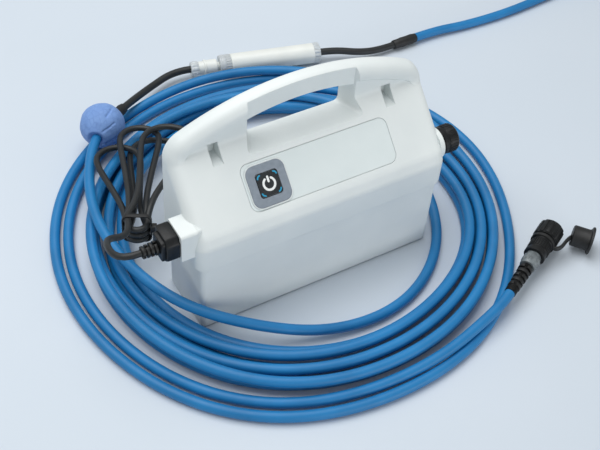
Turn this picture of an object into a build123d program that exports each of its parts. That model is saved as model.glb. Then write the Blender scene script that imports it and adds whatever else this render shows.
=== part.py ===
from build123d import *
import math
import os

os.makedirs("parts", exist_ok=True)

# Power supply case: overall sizes
case_length = 290
case_depth = 83.4
case_height = 236
wall = 3.2
foot_height = 2
rim_z = 92
gasket_height = 2
inlet_reach = 14
socket_reach = 22

# The case is moved along X so that block and cap reach equally far from the origin
mid_x = (inlet_reach - socket_reach) / 2

# Upper case: skirt, slope, arched bar
half_length = case_length / 2
half_depth = case_depth / 2
slope_angle = 44
slope_y = -37.2
slope_z = 131.8
skirt_edge = 7.2
skirt_round = 14
riser_y = 19.5
riser_round = 10
arch_radius = 300
arch_corner = 28
rim_round = 12
back_round = 7
brow_drop = 15
brow_inset = 16
brow_depth = 3.5
brow_round = 14

# Hand opening and finger slots
scoop_front = 66.5
scoop_back = 53
scoop_floor = 176
grip_y = 25
grip_low = 214.4
grip_low_side = 200
slot_x = 98.5
slot_width = 11
slot_floor = 175.9
slot_top = 193
slot_back = 31

# Control field on the slope
panel_x = 3.2
panel_s = 32.4
panel_wide = 168.4
panel_high = 48.6
panel_corner = 9
panel_sheet = 1
panel_depth = 1.2
panel_gap = 0.5
key_x = panel_x - panel_wide / 2 + 24.9
key_s = panel_s - 1
bezel_side = 42
bezel_skirt = 35.4
bezel_top = 1.4
key_side = 23.8
key_gap = 0.4

# Lower case and what it holds
base_length = 280.5
base_depth = 77
base_corner = 6
screw_x = base_length / 2 - 10.75
screw_y = base_depth / 2 - 11.5
screw_r = 1.8
foot_x = base_length / 2 - 28.25
foot_y = base_depth / 2 - 11.5
foot_r = 7
board_z = 14
board_thick = 1.6
board_length = base_length - 52.5
board_depth = base_depth - 17
post_x = board_length - 18
post_y = board_depth - 12

# Inlet at the left end and socket at the right end, both along X
inlet_y = -17.75
inlet_z = 125.3
block_wide = 30.5
block_high = 35.4
socket_y = -17
socket_z = 127
cap_r = 15.5
collar_rise = 1.2

# Cords
cable_d = 11.5
lead_d = 9
mains_d = 7
cord_gap = 0.6
float_r = 26
boot_rise = 0.02

sin_s = math.sin(math.radians(slope_angle))
cos_s = math.cos(math.radians(slope_angle))
slope_rise = sin_s / cos_s
left_x = mid_x - half_length
right_x = mid_x + half_length
slope_plane = Plane(origin=(mid_x, slope_y, slope_z), x_dir=(1, 0, 0), z_dir=(0, -sin_s, cos_s))
slope_axis = Axis(slope_plane.origin, slope_plane.z_dir)
skirt_top = slope_z + (-half_depth - slope_y) * slope_rise
riser_foot = slope_z + (riser_y - slope_y) * slope_rise
arch_mid_z = case_height - arch_radius
corner_x = half_length - arch_corner
corner_z = arch_mid_z + math.sqrt((arch_radius - arch_corner) ** 2 - corner_x ** 2)
arch_tan_x = corner_x * arch_radius / (arch_radius - arch_corner)
arch_tan_z = arch_mid_z + (corner_z - arch_mid_z) * arch_radius / (arch_radius - arch_corner)
corner_mid = math.atan2(corner_z - arch_mid_z, corner_x) / 2


def across(x):
    # Plane square to X at this X, drawn in Y and Z
    return Plane(origin=(x, 0, 0), x_dir=(0, 1, 0), z_dir=(1, 0, 0))


def corner_point(angle):
    # Point on the right corner curve of the arch, angle up from +X
    return (corner_x + arch_corner * math.cos(angle), corner_z + arch_corner * math.sin(angle))


def slope_at(x, s, depth):
    # Plane on the slope at this place and depth, facing outward
    spot = slope_plane.from_local_coords((x, s, depth))
    return Plane(origin=spot, x_dir=(1, 0, 0), z_dir=slope_plane.z_dir)


# Hand opening: a shelf open to the front that runs right through under the grip
grip_side = scoop_front + 13.5
with BuildPart() as scoop:
    with BuildSketch(Plane(origin=(mid_x, 0, scoop_floor))):
        with BuildLine():
            Polyline((-scoop_front, 0), (-scoop_front, 10), (-scoop_back, half_depth + 2),
                     (scoop_back, half_depth + 2), (scoop_front, 10), (scoop_front, 0), close=True)
        make_face()
    extrude(amount=80)
    with BuildSketch(Plane(origin=(mid_x, grip_y, 0), x_dir=(1, 0, 0), z_dir=(0, -1, 0))):
        with BuildLine():
            ThreePointArc((-grip_side, grip_low_side), (0, grip_low), (grip_side, grip_low_side))
            Polyline((grip_side, grip_low_side), (grip_side, case_height + 44),
                     (-grip_side, case_height + 44), (-grip_side, grip_low_side))
        make_face()
    extrude(amount=-30, mode=Mode.SUBTRACT)
    scoop_sides = scoop.edges().filter_by(Axis.Y, tolerance=25).group_by(Axis.Z)[0]
    fillet(scoop_sides, 5)

# Set-back of the riser below the brow of the bar, with sloping edges
with BuildPart() as brow_cut:
    with BuildSketch(across(left_x)):
        brow_y = riser_y + brow_depth
        with BuildLine():
            FilletPolyline((riser_y - 8, riser_foot - 8 * slope_rise + 0.02),
                           (brow_y, riser_foot + brow_depth * slope_rise + 0.02), (brow_y, case_height),
                           radius=riser_round)
            Polyline((brow_y, case_height), (riser_y - 8, case_height),
                     (riser_y - 8, riser_foot - 8 * slope_rise + 0.02))
        make_face()
    extrude(amount=case_length)
    with BuildSketch(Plane(origin=(mid_x, riser_y - brow_depth, 0), x_dir=(-1, 0, 0), z_dir=(0, 1, 0))):
        brow_r = arch_radius - brow_drop + brow_depth
        brow_x = half_length - brow_inset + brow_depth
        brow_z = arch_mid_z + math.sqrt(brow_r ** 2 - brow_x ** 2)
        with BuildLine():
            ThreePointArc((-brow_x, brow_z), (0, arch_mid_z + brow_r), (brow_x, brow_z))
            Polyline((brow_x, brow_z), (brow_x, rim_z), (-brow_x, rim_z), (-brow_x, brow_z))
        make_face()
        fillet(vertices().group_by(Axis.Y)[-1], brow_round)
    extrude(amount=2 * brow_depth, taper=45, mode=Mode.INTERSECT)

# Rounding of the back edge, up one end, over the arch and down the other
with BuildPart() as back_cut:
    quarter = corner_point(corner_mid)
    with BuildLine(Plane(origin=(mid_x, half_depth, 0), x_dir=(1, 0, 0), z_dir=(0, -1, 0))) as back_path:
        Line((half_length, rim_z - 1), (half_length, corner_z))
        ThreePointArc((half_length, corner_z), quarter, (arch_tan_x, arch_tan_z))
        ThreePointArc((arch_tan_x, arch_tan_z), (0, case_height), (-arch_tan_x, arch_tan_z))
        ThreePointArc((-arch_tan_x, arch_tan_z), (-quarter[0], quarter[1]), (-half_length, corner_z))
        Line((-half_length, corner_z), (-half_length, rim_z - 1))
    with BuildSketch(Plane(origin=(right_x, half_depth, rim_z - 1))):
        with BuildLine():
            turn = back_round * (1 - math.sqrt(0.5))
            ThreePointArc((-back_round, 0), (-turn, -turn), (0, -back_round))
            Polyline((0, -back_round), (6, -back_round), (6, 6), (-back_round, 6), (-back_round, 0))
        make_face()
    sweep(path=back_path.wires()[0])


def front_rim(part):
    # Edges of the front along both ends and over the arch
    rim = []
    for edge in part.edges():
        p = edge.position_at(0.5)
        q = edge.position_at(1)
        x = abs(p.X - mid_x)
        at_end = abs(x - half_length) < 0.05
        at_arch = abs(math.hypot(x, p.Z - arch_mid_z) - arch_radius) < 0.05
        at_corner = x > corner_x and abs(math.hypot(x - corner_x, p.Z - corner_z) - arch_corner) < 0.05
        runs_back = abs(p.X - q.X) + abs(p.Z - q.Z) < 0.01
        in_front = p.Y < half_depth - 0.1 and p.Z > rim_z + 0.05
        if (at_end or at_arch or at_corner) and in_front and not runs_back:
            rim.append(edge)
    return rim


# Upper case: moulded shell with slope, arched carrying bar, inlet block and socket collar
roof_z = scoop_floor - wall
inner_half = base_depth / 2 - 3
inner_long = half_length - 7
inner_y = slope_y + wall * sin_s
inner_z = slope_z - wall * cos_s
roof_y = inner_y + (roof_z - inner_z) / slope_rise
with BuildPart() as upper_case:
    with BuildSketch(across(left_x)):
        with BuildLine():
            FilletPolyline((-half_depth, rim_z), (-half_depth, skirt_top - skirt_edge),
                           (-half_depth + skirt_edge * cos_s, skirt_top + skirt_edge * sin_s),
                           (riser_y, riser_foot), (riser_y, case_height + 5),
                           radius=[skirt_round, skirt_round, riser_round])
            Polyline((riser_y, case_height + 5), (half_depth, case_height + 5), (half_depth, rim_z),
                     (-half_depth, rim_z))
        make_face()
    extrude(amount=case_length)
    with BuildSketch(Plane(origin=(mid_x, half_depth + 5, 0), x_dir=(1, 0, 0), z_dir=(0, -1, 0))):
        with BuildLine():
            Line((-half_length, rim_z - 5), (-half_length, corner_z))
            ThreePointArc((-half_length, corner_z), (-quarter[0], quarter[1]), (-arch_tan_x, arch_tan_z))
            ThreePointArc((-arch_tan_x, arch_tan_z), (0, case_height), (arch_tan_x, arch_tan_z))
            ThreePointArc((arch_tan_x, arch_tan_z), quarter, (half_length, corner_z))
            Polyline((half_length, corner_z), (half_length, rim_z - 5), (-half_length, rim_z - 5))
        make_face()
    extrude(amount=case_depth + 10, mode=Mode.INTERSECT)
    fillet(front_rim(upper_case.part), rim_round)
    add(back_cut.part, mode=Mode.SUBTRACT)
    add(brow_cut.part, mode=Mode.SUBTRACT)
    add(scoop.part, mode=Mode.SUBTRACT)
    with BuildSketch(across(left_x - inlet_reach)):
        with Locations((inlet_y, inlet_z)):
            RectangleRounded(block_wide, block_high, 3)
    extrude(amount=inlet_reach + 4)
    with BuildSketch(across(right_x - 4)):
        with Locations((socket_y, socket_z)):
            Circle(cap_r + 1.5)
    extrude(amount=4 + collar_rise)
    with BuildSketch(across(mid_x - inner_long)):
        with BuildLine():
            Polyline((-inner_half, rim_z), (-inner_half, skirt_top - 9),
                     (inner_y + 4, inner_z + 4 * slope_rise), (roof_y, roof_z), (inner_half, roof_z),
                     (inner_half, rim_z), close=True)
        make_face()
    extrude(amount=2 * inner_long, mode=Mode.SUBTRACT)
    with BuildSketch(Plane(origin=(mid_x, 0, rim_z))):
        with GridLocations(2 * screw_x, 2 * screw_y, 2, 2):
            Rectangle(2 * (inner_long - screw_x), 2 * (inner_half - screw_y))
    extrude(amount=18)
    with BuildSketch(Plane(origin=(mid_x, 0, rim_z))):
        with GridLocations(2 * screw_x, 2 * screw_y, 2, 2):
            Circle(screw_r)
    extrude(amount=15, mode=Mode.SUBTRACT)
    for side in (-1, 1):
        with BuildSketch(across(mid_x + side * slot_x - slot_width / 2)):
            with BuildLine():
                Polyline((0, slot_floor), (slot_back, slot_floor), (slot_back, slot_top), (0, slot_top),
                         close=True)
            make_face()
        extrude(amount=slot_width, mode=Mode.SUBTRACT)
    with BuildSketch(slope_at(panel_x, panel_s, -panel_depth)):
        RectangleRounded(panel_wide, panel_high, panel_corner)
    extrude(amount=panel_depth + 1, mode=Mode.SUBTRACT)
    with BuildSketch(slope_at(key_x, key_s, -8)):
        RectangleRounded(bezel_skirt + 0.6, bezel_skirt + 0.6, 5)
    extrude(amount=10, mode=Mode.SUBTRACT)
    with BuildSketch(slope_at(key_x, key_s, -17)):
        with GridLocations(46, 1, 2, 1):
            Rectangle(6, 8)
    extrude(amount=15)
    with BuildSketch(across(left_x - inlet_reach)):
        with Locations((inlet_y, inlet_z)):
            RectangleRounded(22, 29, 2)
    extrude(amount=inlet_reach + 11, mode=Mode.SUBTRACT)
    with BuildSketch(across(right_x - 8)):
        with Locations((socket_y, socket_z)):
            Circle(11.6)
    extrude(amount=14, mode=Mode.SUBTRACT)
upper_case.part.label = "upper_case"
export_step(upper_case.part, "parts/upper_case.step")

# Lower case: tub with corner columns for the case screws and posts for the board
column_top = rim_z
tub_top = rim_z - gasket_height
screw_seat = rim_z - 22
with BuildPart() as lower_case:
    with BuildSketch(Plane(origin=(mid_x, 0, foot_height))):
        RectangleRounded(base_length, base_depth, base_corner)
    extrude(amount=tub_top - foot_height)
    with BuildSketch(Plane(origin=(mid_x, 0, foot_height + 3))):
        RectangleRounded(base_length - 7, base_depth - 7, base_corner - 3)
    extrude(amount=tub_top, mode=Mode.SUBTRACT)
    with BuildSketch(Plane(origin=(mid_x, 0, foot_height))):
        with GridLocations(2 * screw_x, 2 * screw_y, 2, 2):
            Rectangle(15, 15)
    extrude(amount=column_top - foot_height)
    with BuildSketch(Plane(origin=(mid_x, 0, foot_height + 1))):
        with GridLocations(post_x, post_y, 2, 2):
            Circle(4)
    extrude(amount=board_z - foot_height - 1)
    with BuildSketch(Plane(origin=(mid_x, 0, foot_height + 5))):
        with GridLocations(post_x, post_y, 2, 2):
            Circle(1.2)
    extrude(amount=20, mode=Mode.SUBTRACT)
    with BuildSketch(Plane(origin=(mid_x, 0, 0))):
        with GridLocations(2 * screw_x, 2 * screw_y, 2, 2):
            Circle(4.4)
    extrude(amount=screw_seat, mode=Mode.SUBTRACT)
    with BuildSketch(Plane(origin=(mid_x, 0, screw_seat - 10))):
        with GridLocations(2 * screw_x, 2 * screw_y, 2, 2):
            Circle(screw_r + 0.3)
    extrude(amount=60, mode=Mode.SUBTRACT)
    with BuildSketch(Plane(origin=(mid_x, 0, 0))):
        with GridLocations(2 * foot_x, 2 * foot_y, 2, 2):
            Circle(foot_r)
    extrude(amount=foot_height + 1.5, mode=Mode.SUBTRACT)
lower_case.part.label = "lower_case"
export_step(lower_case.part, "parts/lower_case.step")

# Flat rubber seal between the two case halves
with BuildPart() as case_seal:
    with BuildSketch(Plane(origin=(mid_x, 0, tub_top))):
        RectangleRounded(base_length - 0.6, base_depth - 0.6, base_corner - 0.3)
        RectangleRounded(base_length - 6, base_depth - 6, base_corner - 3, mode=Mode.SUBTRACT)
        with GridLocations(2 * screw_x, 2 * screw_y, 2, 2):
            Rectangle(15.6, 15.6, mode=Mode.SUBTRACT)
    extrude(amount=gasket_height)
case_seal.part.label = "case_seal"
export_step(case_seal.part, "parts/case_seal.step")

# Four long case screws, driven from below through the columns
with BuildPart() as case_screws:
    with BuildSketch(Plane(origin=(mid_x, 0, screw_seat - 3.5))):
        with GridLocations(2 * screw_x, 2 * screw_y, 2, 2):
            Circle(3.8)
    extrude(amount=3.5)
    with BuildSketch(Plane(origin=(mid_x, 0, screw_seat - 3.5))):
        with GridLocations(2 * screw_x, 2 * screw_y, 2, 2):
            RegularPolygon(1.6, 6)
    extrude(amount=2, mode=Mode.SUBTRACT)
    with BuildSketch(Plane(origin=(mid_x, 0, screw_seat - 1))):
        with GridLocations(2 * screw_x, 2 * screw_y, 2, 2):
            Circle(screw_r)
    extrude(amount=rim_z + 14 - screw_seat)
case_screws.part.label = "case_screws"
export_step(case_screws.part, "parts/case_screws.step")

# Four rubber feet set into the base
with BuildPart() as rubber_feet:
    with BuildSketch(Plane(origin=(mid_x, 0, 0))):
        with GridLocations(2 * foot_x, 2 * foot_y, 2, 2):
            Circle(foot_r)
    extrude(amount=foot_height + 1.5)
rubber_feet.part.label = "rubber_feet"
export_step(rubber_feet.part, "parts/rubber_feet.step")

# Face sheet laid into the recess of the slope
with BuildPart() as face_sheet:
    with BuildSketch(slope_at(panel_x, panel_s, -panel_depth)):
        RectangleRounded(panel_wide - 2 * panel_gap, panel_high - 2 * panel_gap, panel_corner - panel_gap)
        with Locations((key_x - panel_x, key_s - panel_s)):
            RectangleRounded(bezel_skirt + 0.6, bezel_skirt + 0.6, 5, mode=Mode.SUBTRACT)
    extrude(amount=panel_sheet)
face_sheet.part.label = "face_sheet"
export_step(face_sheet.part, "parts/face_sheet.step")

# Bezel of the power key, its skirt through the sheet and the case wall
sheet_top = panel_sheet - panel_depth
key_hole = key_side + 2 * key_gap
with BuildPart() as key_bezel:
    with BuildSketch(slope_at(key_x, key_s, sheet_top)):
        RectangleRounded(bezel_side, bezel_side, panel_corner)
    extrude(amount=bezel_top - sheet_top)
    with BuildSketch(slope_at(key_x, key_s, -7)):
        RectangleRounded(bezel_skirt, bezel_skirt, 4.7)
    extrude(amount=7 + sheet_top)
    with BuildSketch(slope_at(key_x, key_s, -8)):
        RectangleRounded(key_hole, key_hole, 3)
    extrude(amount=12, mode=Mode.SUBTRACT)
    fillet(key_bezel.faces().sort_by(slope_axis)[-1].outer_wire().edges(), 0.8)
key_bezel.part.label = "key_bezel"
export_step(key_bezel.part, "parts/key_bezel.step")

# Power key: cap, retaining flange below the bezel skirt, stem into the switch
with BuildPart() as power_key:
    with BuildSketch(slope_at(key_x, key_s, -7.2)):
        RectangleRounded(key_side, key_side, 2.6)
    extrude(amount=7.2 + bezel_top + 0.6)
    with BuildSketch(slope_at(key_x, key_s, -8.6)):
        RectangleRounded(key_side + 5, key_side + 5, 4)
    extrude(amount=1.4)
    with BuildSketch(slope_at(key_x, key_s, -13.5)):
        Circle(1.7)
    extrude(amount=6)
    fillet(power_key.faces().sort_by(slope_axis)[-1].outer_wire().edges(), 0.7)
power_key.part.label = "power_key"
export_step(power_key.part, "parts/power_key.step")

# Push switch under the key, on its own small board held by two posts of the case
with BuildPart() as key_switch:
    with BuildSketch(slope_at(key_x, key_s, -17)):
        Rectangle(12, 12)
    extrude(amount=5)
    with BuildSketch(slope_at(key_x, key_s, -15.5)):
        Circle(2.1)
    extrude(amount=5, mode=Mode.SUBTRACT)
key_switch.part.label = "key_switch"
export_step(key_switch.part, "parts/key_switch.step")

with BuildPart() as key_board:
    with BuildSketch(slope_at(key_x, key_s, -17 - board_thick)):
        RectangleRounded(54, 26, 2)
    extrude(amount=board_thick)
key_board.part.label = "key_board"
export_step(key_board.part, "parts/key_board.step")

# Appliance inlet in the block: shell with the plug cavity, and its three blades
inlet_face = left_x - inlet_reach
with BuildPart() as mains_inlet:
    with BuildSketch(across(inlet_face)):
        with Locations((inlet_y, inlet_z)):
            RectangleRounded(22, 29, 2)
    extrude(amount=inlet_reach + 10)
    with BuildSketch(across(inlet_face)):
        with Locations((inlet_y, inlet_z)):
            RectangleRounded(17.4, 24.4, 2)
    extrude(amount=17, mode=Mode.SUBTRACT)
    with BuildSketch(across(inlet_face)):
        with Locations((inlet_y - 2.5, inlet_z - 7), (inlet_y + 2.5, inlet_z), (inlet_y - 2.5, inlet_z + 7)):
            Rectangle(4, 2)
    extrude(amount=inlet_reach + 12, mode=Mode.SUBTRACT)
mains_inlet.part.label = "mains_inlet"
export_step(mains_inlet.part, "parts/mains_inlet.step")

with BuildPart() as inlet_blades:
    with BuildSketch(across(inlet_face + 4)):
        with Locations((inlet_y - 2.5, inlet_z - 7), (inlet_y + 2.5, inlet_z), (inlet_y - 2.5, inlet_z + 7)):
            Rectangle(4, 2)
    extrude(amount=27)
inlet_blades.part.label = "inlet_blades"
export_step(inlet_blades.part, "parts/inlet_blades.step")

# Output socket at the right end: flange on the collar, threaded barrel, contacts and cap
collar_x = right_x + collar_rise
with BuildPart() as output_socket:
    with BuildSketch(across(collar_x)):
        with Locations((socket_y, socket_z)):
            Circle(cap_r)
    extrude(amount=2)
    with BuildSketch(across(right_x - 9)):
        with Locations((socket_y, socket_z)):
            Circle(11.6)
    extrude(amount=15)
    with BuildSketch(across(collar_x)):
        with Locations((socket_y, socket_z)):
            Circle(11.8)
    extrude(amount=socket_reach - collar_rise - 4.6)
    with BuildSketch(across(collar_x + 5)):
        with Locations((socket_y, socket_z)):
            Circle(9)
    extrude(amount=20, mode=Mode.SUBTRACT)
    with BuildSketch(across(right_x - 12)):
        with Locations((socket_y, socket_z)):
            with PolarLocations(4.5, 3):
                Circle(1.3)
    extrude(amount=40, mode=Mode.SUBTRACT)
output_socket.part.label = "output_socket"
export_step(output_socket.part, "parts/output_socket.step")

with BuildPart() as socket_nut:
    with BuildSketch(across(mid_x + inner_long - 4)):
        with Locations((socket_y, socket_z)):
            RegularPolygon(13.8, 6)
            Circle(11.6, mode=Mode.SUBTRACT)
    extrude(amount=4)
socket_nut.part.label = "socket_nut"
export_step(socket_nut.part, "parts/socket_nut.step")

with BuildPart() as socket_pins:
    with BuildSketch(across(right_x - 14)):
        with Locations((socket_y, socket_z)):
            with PolarLocations(4.5, 3):
                Circle(1.3)
    extrude(amount=socket_reach + 6.5)
socket_pins.part.label = "socket_pins"
export_step(socket_pins.part, "parts/socket_pins.step")

cap_back = collar_x + 2.4
with BuildPart() as socket_cap:
    with BuildSketch(across(cap_back)):
        with Locations((socket_y, socket_z)):
            Circle(cap_r)
            with PolarLocations(cap_r + 1.1, 18):
                Circle(2.1, mode=Mode.SUBTRACT)
    extrude(amount=right_x + socket_reach - cap_back)
    with BuildSketch(across(right_x + socket_reach - 6)):
        with Locations((socket_y, socket_z)):
            Circle(cap_r)
            Circle(cap_r - 1.2, mode=Mode.SUBTRACT)
    extrude(amount=2, mode=Mode.SUBTRACT)
    with BuildSketch(across(cap_back)):
        with Locations((socket_y, socket_z)):
            Circle(12.2)
    extrude(amount=right_x + socket_reach - cap_back - 3, mode=Mode.SUBTRACT)
    with BuildSketch(across(right_x + socket_reach)):
        with Locations((socket_y, socket_z)):
            Circle(11)
    extrude(amount=-1.2, mode=Mode.SUBTRACT)
socket_cap.part.label = "socket_cap"
export_step(socket_cap.part, "parts/socket_cap.step")

# Main board on its posts, with the parts that turn mains into the low supply voltage
parts_z = board_z + board_thick
with BuildPart() as main_board:
    with BuildSketch(Plane(origin=(mid_x, 0, board_z))):
        RectangleRounded(board_length, board_depth, 2)
        with GridLocations(post_x, post_y, 2, 2):
            Circle(1.4, mode=Mode.SUBTRACT)
    extrude(amount=board_thick)
main_board.part.label = "main_board"
export_step(main_board.part, "parts/main_board.step")

with BuildPart() as board_screws:
    with BuildSketch(Plane(origin=(mid_x, 0, parts_z))):
        with GridLocations(post_x, post_y, 2, 2):
            Circle(2.8)
    extrude(amount=2)
    with BuildSketch(Plane(origin=(mid_x, 0, foot_height + 6))):
        with GridLocations(post_x, post_y, 2, 2):
            Circle(1.2)
    extrude(amount=parts_z - foot_height - 5)
board_screws.part.label = "board_screws"
export_step(board_screws.part, "parts/board_screws.step")

with BuildPart() as transformer_core:
    with BuildSketch(Plane(origin=(mid_x - 8, 18, parts_z), x_dir=(1, 0, 0), z_dir=(0, -1, 0))):
        with Locations((0, 24)):
            Rectangle(50, 48)
        with Locations((-15, 24), (15, 24)):
            Rectangle(12, 30, mode=Mode.SUBTRACT)
    extrude(amount=36)
transformer_core.part.label = "transformer_core"
export_step(transformer_core.part, "parts/transformer_core.step")

with BuildPart() as transformer_coil:
    with BuildSketch(Plane(origin=(mid_x - 8, 0, parts_z + 9))):
        RectangleRounded(41, 56, 6)
        Rectangle(18, 36, mode=Mode.SUBTRACT)
    extrude(amount=30)
transformer_coil.part.label = "transformer_coil"
export_step(transformer_coil.part, "parts/transformer_coil.step")

with BuildPart() as bulk_capacitors:
    with BuildSketch(Plane(origin=(mid_x, 0, parts_z))):
        with Locations((-62, -14), (-62, 14)):
            Circle(12.5)
    extrude(amount=45)
bulk_capacitors.part.label = "bulk_capacitors"
export_step(bulk_capacitors.part, "parts/bulk_capacitors.step")

with BuildPart() as heat_sink:
    with BuildSketch(Plane(origin=(mid_x + 62, 0, parts_z))):
        with Locations((0, 10)):
            Rectangle(66, 4)
        with Locations((-30, 19), (-18, 19), (-6, 19), (6, 19), (18, 19), (30, 19)):
            Rectangle(2, 16)
    extrude(amount=50)
heat_sink.part.label = "heat_sink"
export_step(heat_sink.part, "parts/heat_sink.step")

with BuildPart() as power_transistors:
    with BuildSketch(Plane(origin=(mid_x + 62, 0, parts_z + 20))):
        with Locations((-20, 5.7), (0, 5.7), (20, 5.7)):
            Rectangle(10, 4.6)
    extrude(amount=16)
    with BuildSketch(Plane(origin=(mid_x + 62, 0, parts_z))):
        with Locations((-20, 5), (0, 5), (20, 5)):
            with GridLocations(2.5, 1, 3, 1):
                Rectangle(1, 0.8)
    extrude(amount=21)
power_transistors.part.label = "power_transistors"
export_step(power_transistors.part, "parts/power_transistors.step")

with BuildPart() as filter_choke:
    with BuildSketch(Plane(origin=(mid_x - 95, 0, 0), x_dir=(0, 1, 0), z_dir=(1, 0, 0))):
        with Locations((10, parts_z + 15)):
            Circle(15)
            Circle(7, mode=Mode.SUBTRACT)
    extrude(amount=14)
filter_choke.part.label = "filter_choke"
export_step(filter_choke.part, "parts/filter_choke.step")

with BuildPart() as output_capacitors:
    with BuildSketch(Plane(origin=(mid_x + 40, -18, parts_z))):
        with GridLocations(16, 1, 3, 1):
            Circle(6.3)
    extrude(amount=26)
output_capacitors.part.label = "output_capacitors"
export_step(output_capacitors.part, "parts/output_capacitors.step")

with BuildPart() as mains_fuse:
    with BuildSketch(Plane(origin=(mid_x - 102, 0, 0), x_dir=(0, 1, 0), z_dir=(1, 0, 0))):
        with Locations((-18, parts_z + 4)):
            Circle(2.6)
    extrude(amount=20)
    with BuildSketch(Plane(origin=(mid_x - 102, -18, parts_z))):
        with Locations((2, 0), (18, 0)):
            Rectangle(3, 7)
    extrude(amount=6)
mains_fuse.part.label = "mains_fuse"
export_step(mains_fuse.part, "parts/mains_fuse.step")

# Floating cable: turns lie in a loose ring round the case; turns, mean radius, layer
ring_mid = Vector(18 + mid_x, 49, 0)
ring_start = -56
ring_wide = 1.022
ring_deep = 0.978
ring_drift = Vector(-5, -2, 0)
ring_outer = 262
layer_step = cable_d + cord_gap
ring_stations = ((0, 256, 1.12), (0.05, 250, 0.8), (0.1, 245.5, 0.3), (0.15, 244.5, 0), (1.5, 265.5, 0),
                 (1.62, 259, 1), (1.74, 246, 1.05), (1.82, 236, 0.1), (1.9, 229, 0), (4, 190, 0),
                 (4.25, 186, 0.5), (4.5, 186, 1), (7.15, 231, 1), (7.3, 230, 2), (7.5, 211, 2), (7.7, 193, 2),
                 (7.76, 183, 2), (7.83, 172, 0.6), (7.89, 168, 0), (8.05, 168, 0), (8.14, 160, 0.3),
                 (8.205, 166, 1.9), (8.264, 188, 3.4), (8.334, 193, 3.2), (8.378, 206, 3.05), (8.426, 222, 3),
                 (8.455, 233, 2.9), (8.486, 243, 2.75))


def ring_point(u):
    for (u0, r0, k0), (u1, r1, k1) in zip(ring_stations, ring_stations[1:]):
        if u <= u1:
            break
    w = (u - u0) / (u1 - u0)
    r = r0 + (r1 - r0) * w
    k = k0 + (k1 - k0) * w
    a = math.radians(ring_start - 360 * u)
    shift = ring_drift * ((ring_outer - r) / 60)
    x = ring_mid.X + shift.X + ring_wide * r * math.cos(a)
    y = ring_mid.Y + shift.Y + ring_deep * r * math.sin(a)
    return Vector(x, y, cable_d / 2 + 0.2 + k * layer_step)


def soften(u, reach):
    # Mean over a short stretch, so that changes of rate are rounded
    last = ring_stations[-1][0]
    reach = min(reach, u, last - u)
    if reach < 0.001:
        return ring_point(u)
    points = [ring_point(u + reach * k / 4) for k in range(-4, 5)]
    total = points[0]
    for p in points[1:]:
        total = total + p
    return total * (1 / 9)


def heading(f, u, low, high):
    a = max(low, u - 0.004)
    b = min(high, u + 0.004)
    return (f(b) - f(a)).normalized()


def bend(p, t, q):
    # Arc from p that leaves along t, or a line where it does not bend
    chord = q - p
    if (chord.normalized() - t).length < 0.0005:
        Line(p, q)
    else:
        TangentArc(p, q, tangent=t)


def join(p, t, q, s):
    # Two arcs that meet smoothly between p, leaving along t, and q, arriving along s
    v = q - p
    both = t + s
    a = 2 * (1 - t.dot(s))
    if a < 0.0000001:
        d = v.dot(v) / (2 * v.dot(both))
    else:
        d = (math.sqrt(v.dot(both) ** 2 + a * v.dot(v)) - v.dot(both)) / a
    q0 = p + t * d
    q1 = q - s * d
    m = (q0 + q1) * 0.5
    bend(p, t, m)
    bend(m, (q1 - q0).normalized(), q)


def least_gap(wire, d):
    # Least room between stretches of one tube, found on points along it
    count = int(wire.length / 5)
    points = [wire.position_at(i / count) for i in range(count + 1)]
    cells = {}
    for i, p in enumerate(points):
        cells.setdefault((int(p.X // 30), int(p.Y // 30), int(p.Z // 30)), []).append(i)
    best = 1000
    for i, p in enumerate(points):
        key = (int(p.X // 30), int(p.Y // 30), int(p.Z // 30))
        for dx in (-1, 0, 1):
            for dy in (-1, 0, 1):
                for dz in (-1, 0, 1):
                    for j in cells.get((key[0] + dx, key[1] + dy, key[2] + dz), ()):
                        if j - i > 5 * d / 5 + 2:
                            best = min(best, (points[j] - p).length)
    return best - d


ring_end = ring_stations[-1][0]
ring_marks = [0, 0.04, 0.08, 0.12, 0.16, 0.2, 1.4, 1.46, 3.9, 3.96] + [0.25 * k for k in range(1, 6)]
ring_marks = ring_marks + [1.5 + 0.05 * k for k in range(0, 9)]
ring_marks = ring_marks + [2 + 0.25 * k for k in range(0, 21)]
ring_marks = ring_marks + [7.08 + 0.06 * k for k in range(0, 17)]
ring_marks = ring_marks + [8.08 + 0.03 * k for k in range(0, 13)] + [ring_end]
ring_marks = sorted(set(round(u, 4) for u in ring_marks))
ring_reach = 0.035


def ring_soft(u):
    return soften(u, ring_reach)


ring_spots = [ring_soft(u) for u in ring_marks]
ring_heads = [heading(ring_soft, u, 0, ring_end) for u in ring_marks]
boot_head = Vector(-ring_heads[0].X, -ring_heads[0].Y, boot_rise).normalized()
ring_heads[0] = Vector(-boot_head.X, -boot_head.Y, -boot_head.Z)
float_in = ring_heads[-1]

with BuildPart() as floating_cable:
    with BuildLine() as cable_path:
        for i in range(len(ring_marks) - 1):
            join(ring_spots[i], ring_heads[i], ring_spots[i + 1], ring_heads[i + 1])
        Line(ring_spots[-1], ring_spots[-1] + float_in * cable_d)
    cable_wire = cable_path.wires()[0]
    with BuildSketch(Plane(origin=ring_spots[0], z_dir=ring_heads[0])):
        Circle(cable_d / 2)
    sweep(path=cable_wire)
cable_full = cable_wire.length * math.pi * cable_d ** 2 / 4
print("floating cable length", round(cable_wire.length))
print("floating cable least gap", round(least_gap(cable_wire, cable_d), 2))
print("floating cable volume ratio", round(floating_cable.part.volume / cable_full, 4))
floating_cable.part.label = "floating_cable"
export_step(floating_cable.part, "parts/floating_cable.step")


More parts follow.
